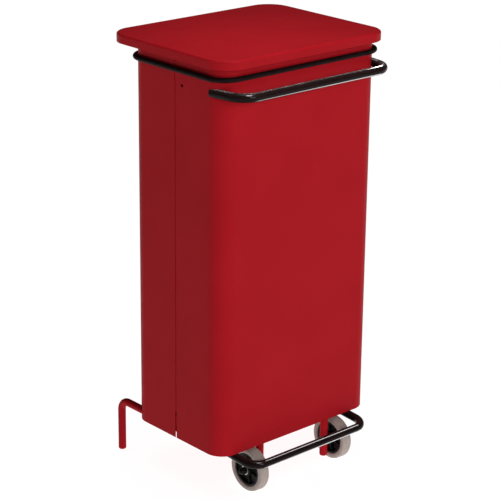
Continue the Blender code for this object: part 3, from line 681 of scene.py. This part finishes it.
def shell_row(z):
    side, front, seam = BODY_HALF, BODY_FRONT, BODY_MID - SEAM_HALF_GAP
    around = ((-FLANGE_X, seam), (-side, seam), (-side, front), (side, front), (side, seam), (FLANGE_X, seam))
    return fillet([Vector((*place, z)) for place in around], [SEAM_BEND, BODY_R, BODY_R, SEAM_BEND])


def make_shells():
    about_middle = Matrix.Translation((0, BODY_MID, 0)) @ Matrix.Rotation(pi, 4, "Z")
    about_middle = about_middle @ Matrix.Translation((0, -BODY_MID, 0))
    for name in ("body_front_shell", "body_rear_shell"):
        front = name == "body_front_shell"
        rows = [shell_row(z) for z in (BODY_BOTTOM, BODY_TOP)]
        if not front:
            rows = [[about_middle @ place for place in row] for row in rows]
        shell = skin(name + "_fine", rows, SHEET, cyclic=False)
        for side in HANDS.values():
            x = sorted((side * (FLANGE_X - CUT_PAST), side * (BODY_HALF + CUT_PAST)))
            slit = block("slit", (x[0], BODY_MID - SLIT_HALF, BODY_BOTTOM - CUT_PAST),
                         (x[1], BODY_MID + SLIT_HALF, BODY_BOTTOM + SEAM_RELIEF))
            combined(shell, slit)
            x = sorted((side * (FLANGE_X - CUT_PAST), side * (BODY_HALF - SHEET - 0.0001)))
            room = block("room", (x[0], BODY_MID - RIM_ROOM, low("top_rim").z - 0.001),
                         (x[1], BODY_MID + RIM_ROOM, BODY_TOP + CUT_PAST))
            combined(shell, room)
            if front:
                reach = X_AXIS * CUT_PAST
                at = Vector((side * BODY_HALF, SIDE_HOLE_Y, SIDE_HOLE_Z))
                combined(shell, rod_between("hole", at - reach, at + reach, SIDE_HOLE_R))
            else:
                start = Vector((side * FRAME_X, BODY_REAR - FRAME_HOLE_DEPTH, FRAME_Z))
                end = Vector((side * FRAME_X, BODY_REAR + CUT_PAST, FRAME_Z))
                combined(shell, rod_between("hole", start, end, FRAME_RADIUS + FRAME_HOLE_GAP))
        if not front:
            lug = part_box("pedal_lug")
            notch = block("notch", (lug[0].x - LUG_NOTCH_GAP, BODY_REAR - CUT_PAST, BODY_BOTTOM - CUT_PAST),
                          (lug[1].x + LUG_NOTCH_GAP, BODY_REAR + CUT_PAST, LUG_NOTCH_TOP))
            combined(shell, notch)
        flat_faces(settled(bevelled(shell, 0.00028, 2, 50)))
        finish(shell, "red_enamel", "chassis", name)


RIM_ROLL, RIM_LIP = 0.0015, 0.010
PAN_ROLL = 0.0025


def rolled_rows(inset, start, edge, roll):
    """Rows of a sheet that runs from height start to height edge, where it turns inwards in a bend."""
    way = copysign(roll, start - edge)
    rows = [rounded_loop(inset, start)]
    for degrees in (0, 22, 45, 67, 90):
        angle = radians(degrees)
        rows.append(rounded_loop(inset + roll * (1 - cos(angle)), edge + way * (1 - sin(angle))))
    return rows


def make_rim_and_floor():
    inset = BODY_HALF - high("top_rim").x
    top = high("top_rim").z
    rows = rolled_rows(inset, low("top_rim").z, top, RIM_ROLL) + [rounded_loop(inset + RIM_LIP, top)]
    rim = flat_faces(settled(bevelled(skin("top_rim_fine", rows, SHEET), 0.0003, 2, 50)))
    finish(rim, "red_enamel", "chassis", "top_rim")

    rows = rolled_rows(inset, high("floor_pan").z, low("floor_pan").z, PAN_ROLL)
    pan = skin("floor_pan_fine", rows, SHEET, fill=True, flip=True)
    flat_faces(settled(bevelled(pan, 0.0003, 2, 50)))
    finish(pan, "red_enamel", "chassis", "floor_pan")


SPOT = [(0, 0.00022), (0.0019, 0.00022), (0.0026, -0.0002), (0, -0.0002)]
SPOT_X = FLANGE_X + 0.0055
SPOT_HEIGHTS = [0.165 + i * 0.0685 for i in range(9)]


def make_spot_welds():
    """Shallow round marks of the spot welds on the inward seam flanges."""
    marks = []
    for side in HANDS.values():
        for facing in (-1, 1):
            y = BODY_MID + facing * (SEAM_HALF_GAP + SHEET)
            for z in SPOT_HEIGHTS:
                at = Vector((side * SPOT_X, y, z))
                marks.append(lathe("mark", SPOT, at, Y_AXIS * facing, soft=0.0002, segments=24))
    finish(together("seam_spot_welds", marks), "red_enamel", "chassis")


BAND_PRESSED = 0.985                # of the ring's round section is left, so that it stays inside its box
BAND_UNEVEN, BAND_WAVES = 0.012, 30


def make_band():
    """Elastic ring that grips the sack's turned-over edge."""
    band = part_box("sack_band")
    radius = (band[1].z - band[0].z) / 2
    out = band[1].x - BODY_HALF - radius
    path = rounded_loop(-out, middle("sack_band").z)
    uneven = [1 + BAND_UNEVEN * noise.noise(point * BAND_WAVES) for point in path]
    ring = sweep("sack_band_fine", path, radius * BAND_PRESSED, sides=28, cyclic=True,
                 ripple=lambda i: uneven[i])
    finish(ring, "black_rubber", "chassis", "sack_band")


# -------- handle
HANDLE_RADIUS = 0.0078
HANDLE_Z = middle("handle_tube").z
HANDLE_BAR_Y = low("handle_tube").y + HANDLE_RADIUS
HANDLE_START = Vector((0.1738, BODY_MID - 0.0874))
HANDLE_TOE_IN = radians(7.6)
HANDLE_BEND = 0.036
HANDLE_WAY = Vector((-sin(HANDLE_TOE_IN), -cos(HANDLE_TOE_IN)))
ENVELOPE_HALF = 0.03
SCREW_SUNK = 0.0007                 # the screws' heads bear this far inside the sheet
# (radius, height) of a handle screw from the bottom of its socket, round its head and down to its tip
SCREW = [(0, -0.0016), (0.0021, -0.0016), (0.0024, -0.0029), (0.0036, -0.0026), (0.005, -0.0012), (0.005, 0),
         (0.0024, 0), (0.0024, 0.004), (0, 0.004)]


def make_handle():
    """U tube whose ends are cut off along the outside of the body."""
    reach = (HANDLE_START.y - HANDLE_BAR_Y) / cos(HANDLE_TOE_IN)
    bend = HANDLE_START + HANDLE_WAY * reach
    right = [Vector((bend.x, HANDLE_BAR_Y, HANDLE_Z)), Vector((*HANDLE_START, HANDLE_Z))]
    left = [Vector((-p.x, p.y, p.z)) for p in reversed(right)]
    path = fillet(left + right, [HANDLE_BEND] * 2, 32)
    tube = sweep("handle_tube_fine", path, HANDLE_RADIUS, sides=56, wall=TUBE_WALL)
    bm = bmesh.new()
    lower, upper = [[bm.verts.new(place) for place in rounded_loop(-0.0001, z)]
                    for z in (HANDLE_Z - ENVELOPE_HALF, HANDLE_Z + ENVELOPE_HALF)]
    join_rows(bm, lower, upper)
    bm.faces.new(upper)
    bm.faces.new(lower[::-1])
    combined(tube, mesh_object("body_envelope", bm))
    finish(tube, "black_enamel", "chassis", "handle_tube", "handle_insert_left", "handle_insert_right")

    for hand, side in HANDS.items():
        corner = Vector((side * (BODY_HALF - BODY_R), BODY_FRONT + BODY_R, HANDLE_Z))
        away = (middle("handle_screw_" + hand) - corner).normalized()
        seat = corner + away * (BODY_R - SHEET - SCREW_SUNK)
        screw = lathe("handle_screw_fine_" + hand, SCREW, seat, away, segments=48)
        finish(screw, "zinc_plate", "chassis", "handle_screw_" + hand)


# -------- frame, legs and feet
FRAME_RADIUS = 0.007
FRAME_Z = high("base_frame_tube").z - FRAME_RADIUS
FRAME_X = middle("foot_cap_right").x
FOOT_Y = middle("foot_cap_right").y
AXLE = middle("wheel_axle")
LEG_X = middle("leg_cap_right").x
LEG_RADIUS = 0.0072
CAP_HEIGHT = 0.003
FOOT_BEND, FRAME_BEND = 0.020, 0.025
FRAME_WELDS_Y = (-0.070, -0.010, 0.050)     # short beads between the frame and the floor pan


def end_cap(radius):
    """Profile of a tube's closed foot, well rounded, standing on its lowest point."""
    turn = CAP_HEIGHT * 0.9
    angles = [radians(degrees) for degrees in range(90, -1, -15)]
    edge = [(radius - turn * (1 - cos(a)), turn * (1 - sin(a))) for a in angles]
    return [(0, 0), *edge, (radius, CAP_HEIGHT), (0, CAP_HEIGHT)]


def make_frame():
    """The bent tube with its two feet, the two front legs and the weld beads that hold them."""
    corners = [Vector(c) for c in (
        (-FRAME_X, FOOT_Y, CAP_HEIGHT), (-FRAME_X, FOOT_Y, FRAME_Z), (-FRAME_X, AXLE.y, FRAME_Z),
        (FRAME_X, AXLE.y, FRAME_Z), (FRAME_X, FOOT_Y, FRAME_Z), (FRAME_X, FOOT_Y, CAP_HEIGHT))]
    path = fillet(corners, [FOOT_BEND, FRAME_BEND, FRAME_BEND, FOOT_BEND], 28)
    tube = sweep("base_frame_fine", path, FRAME_RADIUS, sides=48)
    finish(tube, "red_enamel", "chassis", "base_frame_tube")
    beads = []
    for hand, side in HANDS.items():
        foot = lathe("foot_cap_fine_" + hand, end_cap(FRAME_RADIUS), (side * FRAME_X, FOOT_Y, 0), Z_AXIS)
        finish(foot, "red_enamel", "chassis", "foot_cap_" + hand)
        bottom = low("leg_cap_" + hand).z
        start = Vector((side * LEG_X, AXLE.y, bottom + CAP_HEIGHT))
        end = Vector((start.x, start.y, FRAME_Z - 0.002))
        leg = sweep("front_leg_fine_" + hand, [start, end], LEG_RADIUS, sides=48)
        finish(leg, "red_enamel", "chassis", "front_leg_" + hand)
        cap = lathe("leg_cap_fine_" + hand, end_cap(LEG_RADIUS), (side * LEG_X, AXLE.y, bottom), Z_AXIS)
        finish(cap, "red_enamel", "chassis", "leg_cap_" + hand)
        saddle = []
        for i in range(49):
            angle = 2 * pi * i / 48
            y = LEG_RADIUS * sin(angle)
            drop = sqrt(max(FRAME_RADIUS ** 2 - y * y, 0.0))
            saddle.append(Vector((side * LEG_X + LEG_RADIUS * cos(angle), AXLE.y + y, FRAME_Z - drop)))
        beads.append(weld_bead(saddle, side, 0.0015))
        for y in FRAME_WELDS_Y:
            for edge in (-1, 1):
                x = side * FRAME_X + edge * 0.0045
                beads.append(bead_along(x, y, y + 0.018, FRAME_Z + 0.0062, y * 100 + edge, 0.0017))
    finish(together("frame_weld_beads", beads), "red_enamel", "chassis")


# -------- wheels
WHEEL_RADIUS = AXLE.z
AXLE_RADIUS = 0.004
BORE = 0.0043                       # radius of what turns or sits on an 8 mm shaft
WASHER_RADIUS = 0.0082
NUT_HALF_ACROSS, NUT_DOME = 0.0065, 0.0059
TYRE_INNER, TYRE_SHOULDER = 0.0300, 0.0046
# (depth, distance from the middle) along the fine groove beside the tread's middle
TREAD_GROOVE = ((0.00005, 0.0046), (0.0006, 0.0043), (0.0006, 0.0038), (0.00005, 0.0035))
BUSH_RADIUS, BUSH_HALF = 0.0061, 0.0112
HUB_RIM, HUB_BOSS, HUB_WEB = 0.0297, 0.0110, 0.0024
HUB_BORE, HUB_HALF, HUB_RIM_HALF = 0.0064, 0.0108, 0.0085
RIBS, RIB_HALF_WIDTH, RIB_HALF_LENGTH = 6, 0.0011, 0.0060


def ring_profile(radius, half):
    """Section of a plain ring on a shaft, from half to -half along it."""
    return [(radius, half), (radius, -half), (BORE, -half), (BORE, half)]


def make_axle():
    end = high("wheel_axle").x
    rod = lathe("wheel_axle_fine", [(0, end), (AXLE_RADIUS, end), (AXLE_RADIUS, -end), (0, -end)],
                (0, AXLE.y, AXLE.z), X_AXIS, soft=0.0006, segments=48)
    finish(rod, "zinc_plate", "chassis", "wheel_axle")
    for hand, side in HANDS.items():
        for place in ("outer", "inner"):
            node = "axle_washer_" + place + "_" + hand
            profile = ring_profile(WASHER_RADIUS, (high(node).x - low(node).x) / 2)
            washer = lathe(node + "_fine", profile, middle(node), X_AXIS, soft=0.00025)
            finish(washer, "zinc_plate", "chassis", node)
        make_cap_nut(hand, side)


def make_cap_nut(hand, side):
    """Domed hexagon nut with the corners of its hexagon turned off."""
    node = "axle_nut_" + hand
    seat = Vector((edge_x(node, -side), AXLE.y, AXLE.z))
    across = NUT_HALF_ACROSS
    corner = across / cos(pi / 6)
    hexagon = lathe(node + "_fine", [(0, 0.0060), (corner, 0.0060), (corner, 0), (0, 0)], seat, X_AXIS * side,
                    soft=0, segments=6)
    turned = lathe("turned", [(0, 0.0075), (across * 0.93, 0.0062), (corner + 0.0002, 0.0047),
                              (corner + 0.0002, 0.0010), (across, 0), (0, 0)],
                   seat, X_AXIS * side, soft=0.0002)
    combined(hexagon, turned, "INTERSECT")
    dome = [(across * 0.83 * cos(a), 0.0062 + NUT_DOME * sin(a)) for a in QUARTER]
    dome[-1] = (0, dome[-1][1])
    crown = lathe("crown", [(0, 0.0040), (across * 0.83, 0.0040)] + dome, seat, X_AXIS * side, soft=0)
    nut = together(node + "_fine", [settled(bevelled(hexagon, 0.0002, 2)), crown])
    finish(nut, "hub_plastic", "chassis", node)


def make_wheels():
    for hand, side in HANDS.items():
        centre = JOINTS["wheel_" + hand + "_spin"]
        body = "wheel_" + hand
        out = X_AXIS * side
        tyre_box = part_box("wheel_tyre_" + hand)
        half = (tyre_box[1].x - tyre_box[0].x) / 2
        inner, shoulder = TYRE_INNER, TYRE_SHOULDER
        outer = [(inner, half - 0.0022), (inner + 0.0012, half - 0.0006), (inner + 0.0030, half - 0.0001)]
        outer += [(WHEEL_RADIUS - shoulder * (1 - sin(a)), half * 0.995 - shoulder * (1 - cos(a)))
                  for a in QUARTER]
        outer += [(WHEEL_RADIUS - depth, off) for depth, off in TREAD_GROOVE]
        outline = both_ways(outer)[::-1]
        tyre = lathe("wheel_tyre_fine_" + hand, outline, centre, out, soft=0.0004, segments=128)
        finish(tyre, "tyre_rubber", body, "wheel_tyre_" + hand)
        make_hub(hand, centre, out, body)
        bush = lathe("wheel_bush_fine_" + hand, ring_profile(BUSH_RADIUS, BUSH_HALF), centre, out)
        finish(bush, "zinc_plate", body, "wheel_bush_" + hand)


def make_hub(hand, centre, out, body):
    """Moulded hub: a rim that holds the tyre, a thin web with ribs on both faces, and a boss."""
    rim, boss, web = HUB_RIM, HUB_BOSS, HUB_WEB
    half = [(HUB_BORE, HUB_HALF), (boss, HUB_HALF), (boss, web + 0.0012), (boss + 0.0016, web),
            (rim - 0.0052, web), (rim - 0.0038, web + 0.0016), (rim - 0.0034, HUB_RIM_HALF),
            (rim, HUB_RIM_HALF)]
    pieces = [lathe("disc", both_ways(half), centre, out, soft=0.0006, segments=96)]
    for i in range(RIBS):
        spin = Matrix.Rotation(radians(360 / RIBS * i + 20), 4, "X")
        rib = block("rib", (-RIB_HALF_LENGTH, boss - 0.001, -RIB_HALF_WIDTH),
                    (RIB_HALF_LENGTH, rim - 0.0030, RIB_HALF_WIDTH))
        rib.data.transform(Matrix.Translation(centre) @ spin)
        pieces.append(bevelled(rib, 0.0005, 2))
    hub = together("wheel_hub_fine_" + hand, pieces)
    finish(hub, "hub_plastic", body, "wheel_hub_" + hand)


# -------- pedal
PEDAL_RADIUS = 0.0075
PEDAL_X = middle("pedal_sleeve_right").x
PIVOT = JOINTS["pedal_pivot"]
PEDAL_ARM_Z = PIVOT.z - 0.0148
PEDAL_BAR_Y = low("pedal_bar").y + PEDAL_RADIUS
PEDAL_BAR_Z = low("pedal_bar").z + PEDAL_RADIUS
PEDAL_KINK_Y = BODY_MID - 0.099
PEDAL_KINK_BEND, PEDAL_BEND = 0.10, 0.0277
SLEEVE_RADIUS = 0.0070
SLOT_HALF = 0.0044
SLOT_BACK, SLOT_AHEAD = 0.0048, 0.0012      # from the rod at rest to the middles of the slot's round ends
LUG_ROUND, LUG_CHAMFER = 0.005, 0.006


def make_pedal():
    """U tube, its two sleeves on the pivot shaft and the bar that carries the lug, all welded together."""
    kink_y, end_y = PEDAL_KINK_Y, high("pedal_bar").y
    corners = [Vector(c) for c in (
        (-PEDAL_X, end_y, PEDAL_ARM_Z), (-PEDAL_X, kink_y, PEDAL_ARM_Z), (-PEDAL_X, PEDAL_BAR_Y, PEDAL_BAR_Z),
        (PEDAL_X, PEDAL_BAR_Y, PEDAL_BAR_Z), (PEDAL_X, kink_y, PEDAL_ARM_Z), (PEDAL_X, end_y, PEDAL_ARM_Z))]
    path = fillet(corners, [PEDAL_KINK_BEND, PEDAL_BEND, PEDAL_BEND, PEDAL_KINK_BEND], 32)
    bar = sweep("pedal_bar_fine", path, PEDAL_RADIUS, sides=56, wall=TUBE_WALL)
    finish(bar, "black_enamel", "pedal", "pedal_bar")
    beads = []
    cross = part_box("pedal_cross_bar")
    for hand, side in HANDS.items():
        node = "pedal_sleeve_" + hand
        profile = ring_profile(SLEEVE_RADIUS, (high(node).x - low(node).x) / 2)
        sleeve = lathe(node + "_fine", profile, middle(node), X_AXIS, soft=0.0004)
        finish(sleeve, "black_enamel", "pedal", node)
        top = PEDAL_ARM_Z + PEDAL_RADIUS + 0.0006
        for edge in (-1, 1):
            # the bead between sleeve and arm follows the arm's round back
            line = [Vector((side * PEDAL_X + t * 0.0016, PIVOT.y + edge * (0.0036 + 0.00010 * t * t),
                            top - 0.00016 * t * t)) for t in range(-3, 4)]
            beads.append(weld_bead(line, edge + side))
            x, z = side * PEDAL_X + edge * 0.0046, cross[1].z + 0.0006
            beads.append(bead_along(x, cross[0].y + 0.003, cross[1].y - 0.003, z, edge * 2 + side, 0.0015))
    bar = block("pedal_cross_bar_fine", *cross)
    finish(settled(bevelled(bar, 0.0008, 3)), "black_enamel", "pedal", "pedal_cross_bar")
    make_lug(beads)
    finish(together("pedal_weld_beads", beads), "black_enamel", "pedal")


def make_lug(beads):
    """Upright plate on the pedal's cross bar; the rod's lower hook slides in its slot."""
    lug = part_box("pedal_lug")
    rod = middle("push_rod_clip_lower")
    slot = arc((rod.y + SLOT_AHEAD, rod.z), SLOT_HALF, -90, 90)
    slot += arc((rod.y - SLOT_BACK, rod.z), SLOT_HALF, 90, 270)
    outline = [(lug[0].y, lug[0].z), (lug[1].y, lug[0].z)]
    outline += arc((lug[1].y - LUG_ROUND, lug[1].z - LUG_ROUND), LUG_ROUND, 0, 90, 8)
    outline += [(lug[0].y + LUG_CHAMFER, lug[1].z), (lug[0].y, lug[1].z - LUG_CHAMFER)]
    piece = plate("pedal_lug_fine", outline, lug[0].x, lug[1].x - lug[0].x, [slot])
    finish(piece, "black_enamel", "pedal", "pedal_lug")
    start, end = lug[0].y + 0.002, high("pedal_cross_bar").y - 0.002
    for x in (lug[0].x - 0.0004, lug[1].x + 0.0004):
        beads.append(bead_along(x, start, end, lug[0].z + 0.0003, x * 1000))


GROOVE_HALF = 0.0008


def grooved_pin(node, radius, depth, clip, centre, segments):
    """A shaft across the bin with a groove for a spring clip near either end."""
    end, groove = high(node).x, middle(clip).x
    half = [(0, end), (radius, end), (radius, groove + GROOVE_HALF), (radius - depth, groove + GROOVE_HALF),
            (radius - depth, groove - GROOVE_HALF), (radius, groove - GROOVE_HALF)]
    pin = lathe(node + "_fine", both_ways(half), (0, centre.y, centre.z), X_AXIS, segments=segments)
    finish(pin, "zinc_plate", "chassis", node)


CLIP_PLAY = 0.0002
CLIP_OUTSIDE, CLIP_INSIDE = (-60, 240), (225, -45)      # degrees round the shaft, open at the bottom


def make_clip(node, radius, reach, body):
    """Spring clip that snaps into a groove and stands out by reach from the shaft's middle."""
    at = middle(node)
    thick = high(node).x - low(node).x
    outline = arc(at.yz, reach, *CLIP_OUTSIDE, 40)
    outline += arc(at.yz, radius + CLIP_PLAY, *CLIP_INSIDE, 40)
    clip = plate(node + "_fine", outline, low(node).x, thick, soft=0.0002)
    finish(clip, "zinc_plate", body, node)


PIVOT_GROOVE, PIVOT_CLIP_REACH = 0.0005, 0.0075
BRACKET_BEND = 0.003
BRACKET_HOLE_RUN = (0.13, 0.16)     # x where the cutter of the bracket's hole starts and ends


def make_pivot():
    """Shaft under the body on which the pedal turns, and its two brackets."""
    grooved_pin("pedal_pivot_shaft", AXLE_RADIUS, PIVOT_GROOVE, "pivot_shaft_clip_right", PIVOT, 48)
    for hand, side in HANDS.items():
        make_clip("pivot_shaft_clip_" + hand, AXLE_RADIUS, PIVOT_CLIP_REACH, "chassis")
        node = "pivot_bracket_" + hand
        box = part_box(node)
        outer, inner = edge_x(node, side), edge_x(node, -side)
        corners = [Vector((inner, 0, box[1].z)), Vector((outer, 0, box[1].z)), Vector((outer, 0, box[0].z))]
        fold = fillet(corners, [BRACKET_BEND], 10)
        rows = [[Vector((p.x, y, p.z)) for p in fold] for y in (box[0].y, box[1].y)]
        bracket = skin(node + "_fine", rows, PLATE, cyclic=False, flip=side < 0)
        start, end = [(side * x, PIVOT.y, PIVOT.z) for x in BRACKET_HOLE_RUN]
        combined(bracket, rod_between("hole", start, end, BORE))
        settled(bevelled(bracket, 0.0004, 2, 50))
        finish(bracket, "red_enamel", "chassis", node)


# -------- push rod
ROD_RADIUS, ROD_BEND, ROD_CLIP_REACH = 0.0035, 0.005, 0.0062


def make_push_rod():
    """Upright rod whose two ends are bent into hooks that pass through the crank and the lug."""
    top = JOINTS["push_rod_pivot"]
    bottom = middle("push_rod_clip_lower")
    reach = high("push_rod").x
    around = ((reach, top.z), (0, top.z), (0, bottom.z), (reach, bottom.z))
    path = fillet([Vector((x, top.y, z)) for x, z in around], [ROD_BEND] * 2, 14)
    rod = sweep("push_rod_fine", path, ROD_RADIUS, sides=32)
    finish(settled(bevelled(rod, 0.0005, 2, 60)), "zinc_plate", "push_rod", "push_rod")
    for end in ("upper", "lower"):
        make_clip("push_rod_clip_" + end, ROD_RADIUS, ROD_CLIP_REACH, "push_rod")


# -------- lid
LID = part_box("lid_shell")
LID_R = 0.0435
LID_EDGE_R = 0.0035
LID_HEM = 0.0003                    # rounding of the tray's lower edge
BUFFER_RADIUS, BUFFER_TIP, BUFFER_TAPER = 0.0050, 0.0034, 0.0016


def lid_loop(inset, z):
    return rounded_loop(inset, z, LID[1].x, LID[0].y, LID[1].y, LID_R, 28)


def make_lid():
    """Shallow tray with its four rubber buffers."""
    rows = [lid_loop(LID_HEM, LID[0].z), lid_loop(0, LID[0].z + LID_HEM), lid_loop(0, LID[1].z - LID_EDGE_R)]
    for a in QUARTER[1:]:
        rows.append(lid_loop(LID_EDGE_R * (1 - cos(a)), LID[1].z - LID_EDGE_R * (1 - sin(a))))
    shell = flat_faces(skin("lid_shell_fine", rows, SHEET, fill=True))
    finish(shell, "red_enamel", "lid", "lid_shell")

    for end in ("front", "rear"):
        for hand in HANDS:
            node = "lid_buffer_" + end + "_" + hand
            height = high(node).z - low(node).z
            profile = [(0, height), (BUFFER_RADIUS, height), (BUFFER_RADIUS, BUFFER_TAPER), (BUFFER_TIP, 0),
                       (0, 0)]
            foot = Vector((*middle(node).xy, low(node).z))
            buffer = lathe(node + "_fine", profile, foot, Z_AXIS, soft=0.0006, segments=40)
            finish(buffer, "black_rubber", "lid", node)


HINGE = JOINTS["lid_hinge"]
HINGE_RADIUS, HINGE_GROOVE, HINGE_CLIP_REACH = 0.003, 0.0004, 0.0058
LID_EAR_R, LID_EAR_FRONT, LID_EAR_STEP = 0.008, 0.014, 0.006
CRANK_R, CRANK_HOLE_R = 0.007, 0.0038
EAR_R = 0.009
# (y, z) from the hinge line to the corners of a hinge ear, in front of and behind its round end
EAR_FRONT = ((-0.0372, -0.0555), (-0.0372, -0.0225), (-0.0230, -0.0225), (-0.0098, -0.0018))
EAR_BACK = ((0.0030, -0.0240), (-0.0060, -0.0390))
EAR_FLANGE = 0.036
RIVET_HOLE_R = 0.0022
# (radius, height) over a rivet's head from the mandrel's stub to its rim
RIVET_HEAD = [(0, 0.0009), (0.00075, 0.0009), (0.00080, 0.0012), (0.0016, 0.00135), (0.0029, 0.0010),
              (0.0038, 0.0003)]


def make_lid_bracket():
    """Strip with two ears under the lid for the hinge pin, and the crank that the rod's upper hook pushes."""
    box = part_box("lid_hinge_bracket")
    strip = block("strip", (box[0].x, box[0].y, box[1].z - PLATE), box[1])
    pieces = [settled(bevelled(strip, 0.0004, 2))]
    top = box[1].z - PLATE / 2
    front = HINGE.y - LID_EAR_FRONT
    outline = arc(HINGE.yz, LID_EAR_R, -180, 0)
    outline += [(HINGE.y + LID_EAR_R, top), (front, top), (front, top - LID_EAR_STEP)]
    hole = circle(HINGE.yz, HINGE_RADIUS + 0.0003)
    for x in (box[0].x, box[1].x - PLATE):
        pieces.append(plate("ear", outline, x, PLATE, [hole]))
    finish(together("lid_hinge_bracket_fine", pieces), "red_enamel", "lid", "lid_hinge_bracket")

    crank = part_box("lid_crank")
    rod = JOINTS["push_rod_pivot"]
    outline = arc(rod.yz, CRANK_R, -180, 0)
    outline += [(rod.y + CRANK_R, crank[1].z), (rod.y - CRANK_R, crank[1].z)]
    hole = circle(rod.yz, CRANK_HOLE_R)
    piece = plate("lid_crank_fine", outline, crank[0].x, crank[1].x - crank[0].x, [hole])
    finish(piece, "red_enamel", "lid", "lid_crank")
    beads = []
    for x in (crank[0].x - 0.0004, crank[1].x + 0.0004):
        beads.append(bead_along(x, crank[0].y + 0.001, crank[1].y - 0.001, crank[1].z, x * 1000, 0.0014))
    finish(together("lid_weld_beads", beads), "red_enamel", "lid")


def make_hinge():
    """Pin behind the body, held by two brackets riveted to the rear shell."""
    grooved_pin("hinge_pin", HINGE_RADIUS, HINGE_GROOVE, "hinge_pin_clip_right", HINGE, 40)
    front, back = [[(HINGE.y + y, HINGE.z + z) for y, z in corners] for corners in (EAR_FRONT, EAR_BACK)]
    ear = front + arc(HINGE.yz, EAR_R, 170, 0) + back
    hole = circle(HINGE.yz, HINGE_RADIUS + 0.0003)
    for hand, side in HANDS.items():
        make_clip("hinge_pin_clip_" + hand, HINGE_RADIUS, HINGE_CLIP_REACH, "chassis")
        node = "hinge_bracket_" + hand
        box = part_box(node)
        near = box[0].x if side > 0 else box[1].x - PLATE
        pieces = [plate("ear", ear, near, PLATE, [hole])]
        x = sorted((near + PLATE / 2, edge_x(node, side)))
        flange = block("flange", (x[0], box[0].y, box[0].z), (x[1], box[0].y + PLATE, box[0].z + EAR_FLANGE))
        for place in ("low", "high"):
            rivet = middle("hinge_rivet_" + place + "_" + hand)
            reach = Y_AXIS * CUT_PAST
            combined(flange, rod_between("hole", rivet - reach, rivet + reach, RIVET_HOLE_R, 32))
        pieces.append(settled(bevelled(flange, 0.0004, 2)))
        finish(together(node + "_fine", pieces), "red_enamel", "chassis", node)
        for place in ("low", "high"):
            make_rivet("hinge_rivet_" + place + "_" + hand)


def make_rivet(node):
    """Dome-headed blind rivet with the stub of its mandrel in the head."""
    at = middle(node)
    seat = high(node).y - 0.0014
    grip = seat - low(node).y
    tail = [(0.0018, 0.0003), (0.0018, 0.0010 - grip), (0.0033, 0.0010 - grip), (0.0030, -grip), (0, -grip)]
    rivet = lathe(node + "_fine", RIVET_HEAD + tail, (at.x, seat, at.z), Y_AXIS, soft=0.0002, segments=32)
    finish(rivet, "zinc_plate", "chassis", node)


make_camera()
BLACK_TUBES = make_studio()
make_shells()
make_rim_and_floor()
make_spot_welds()
make_band()
make_handle()
make_frame()
make_axle()
make_wheels()
make_pedal()
make_pivot()
make_push_rod()
make_lid()
make_lid_bracket()
make_hinge()
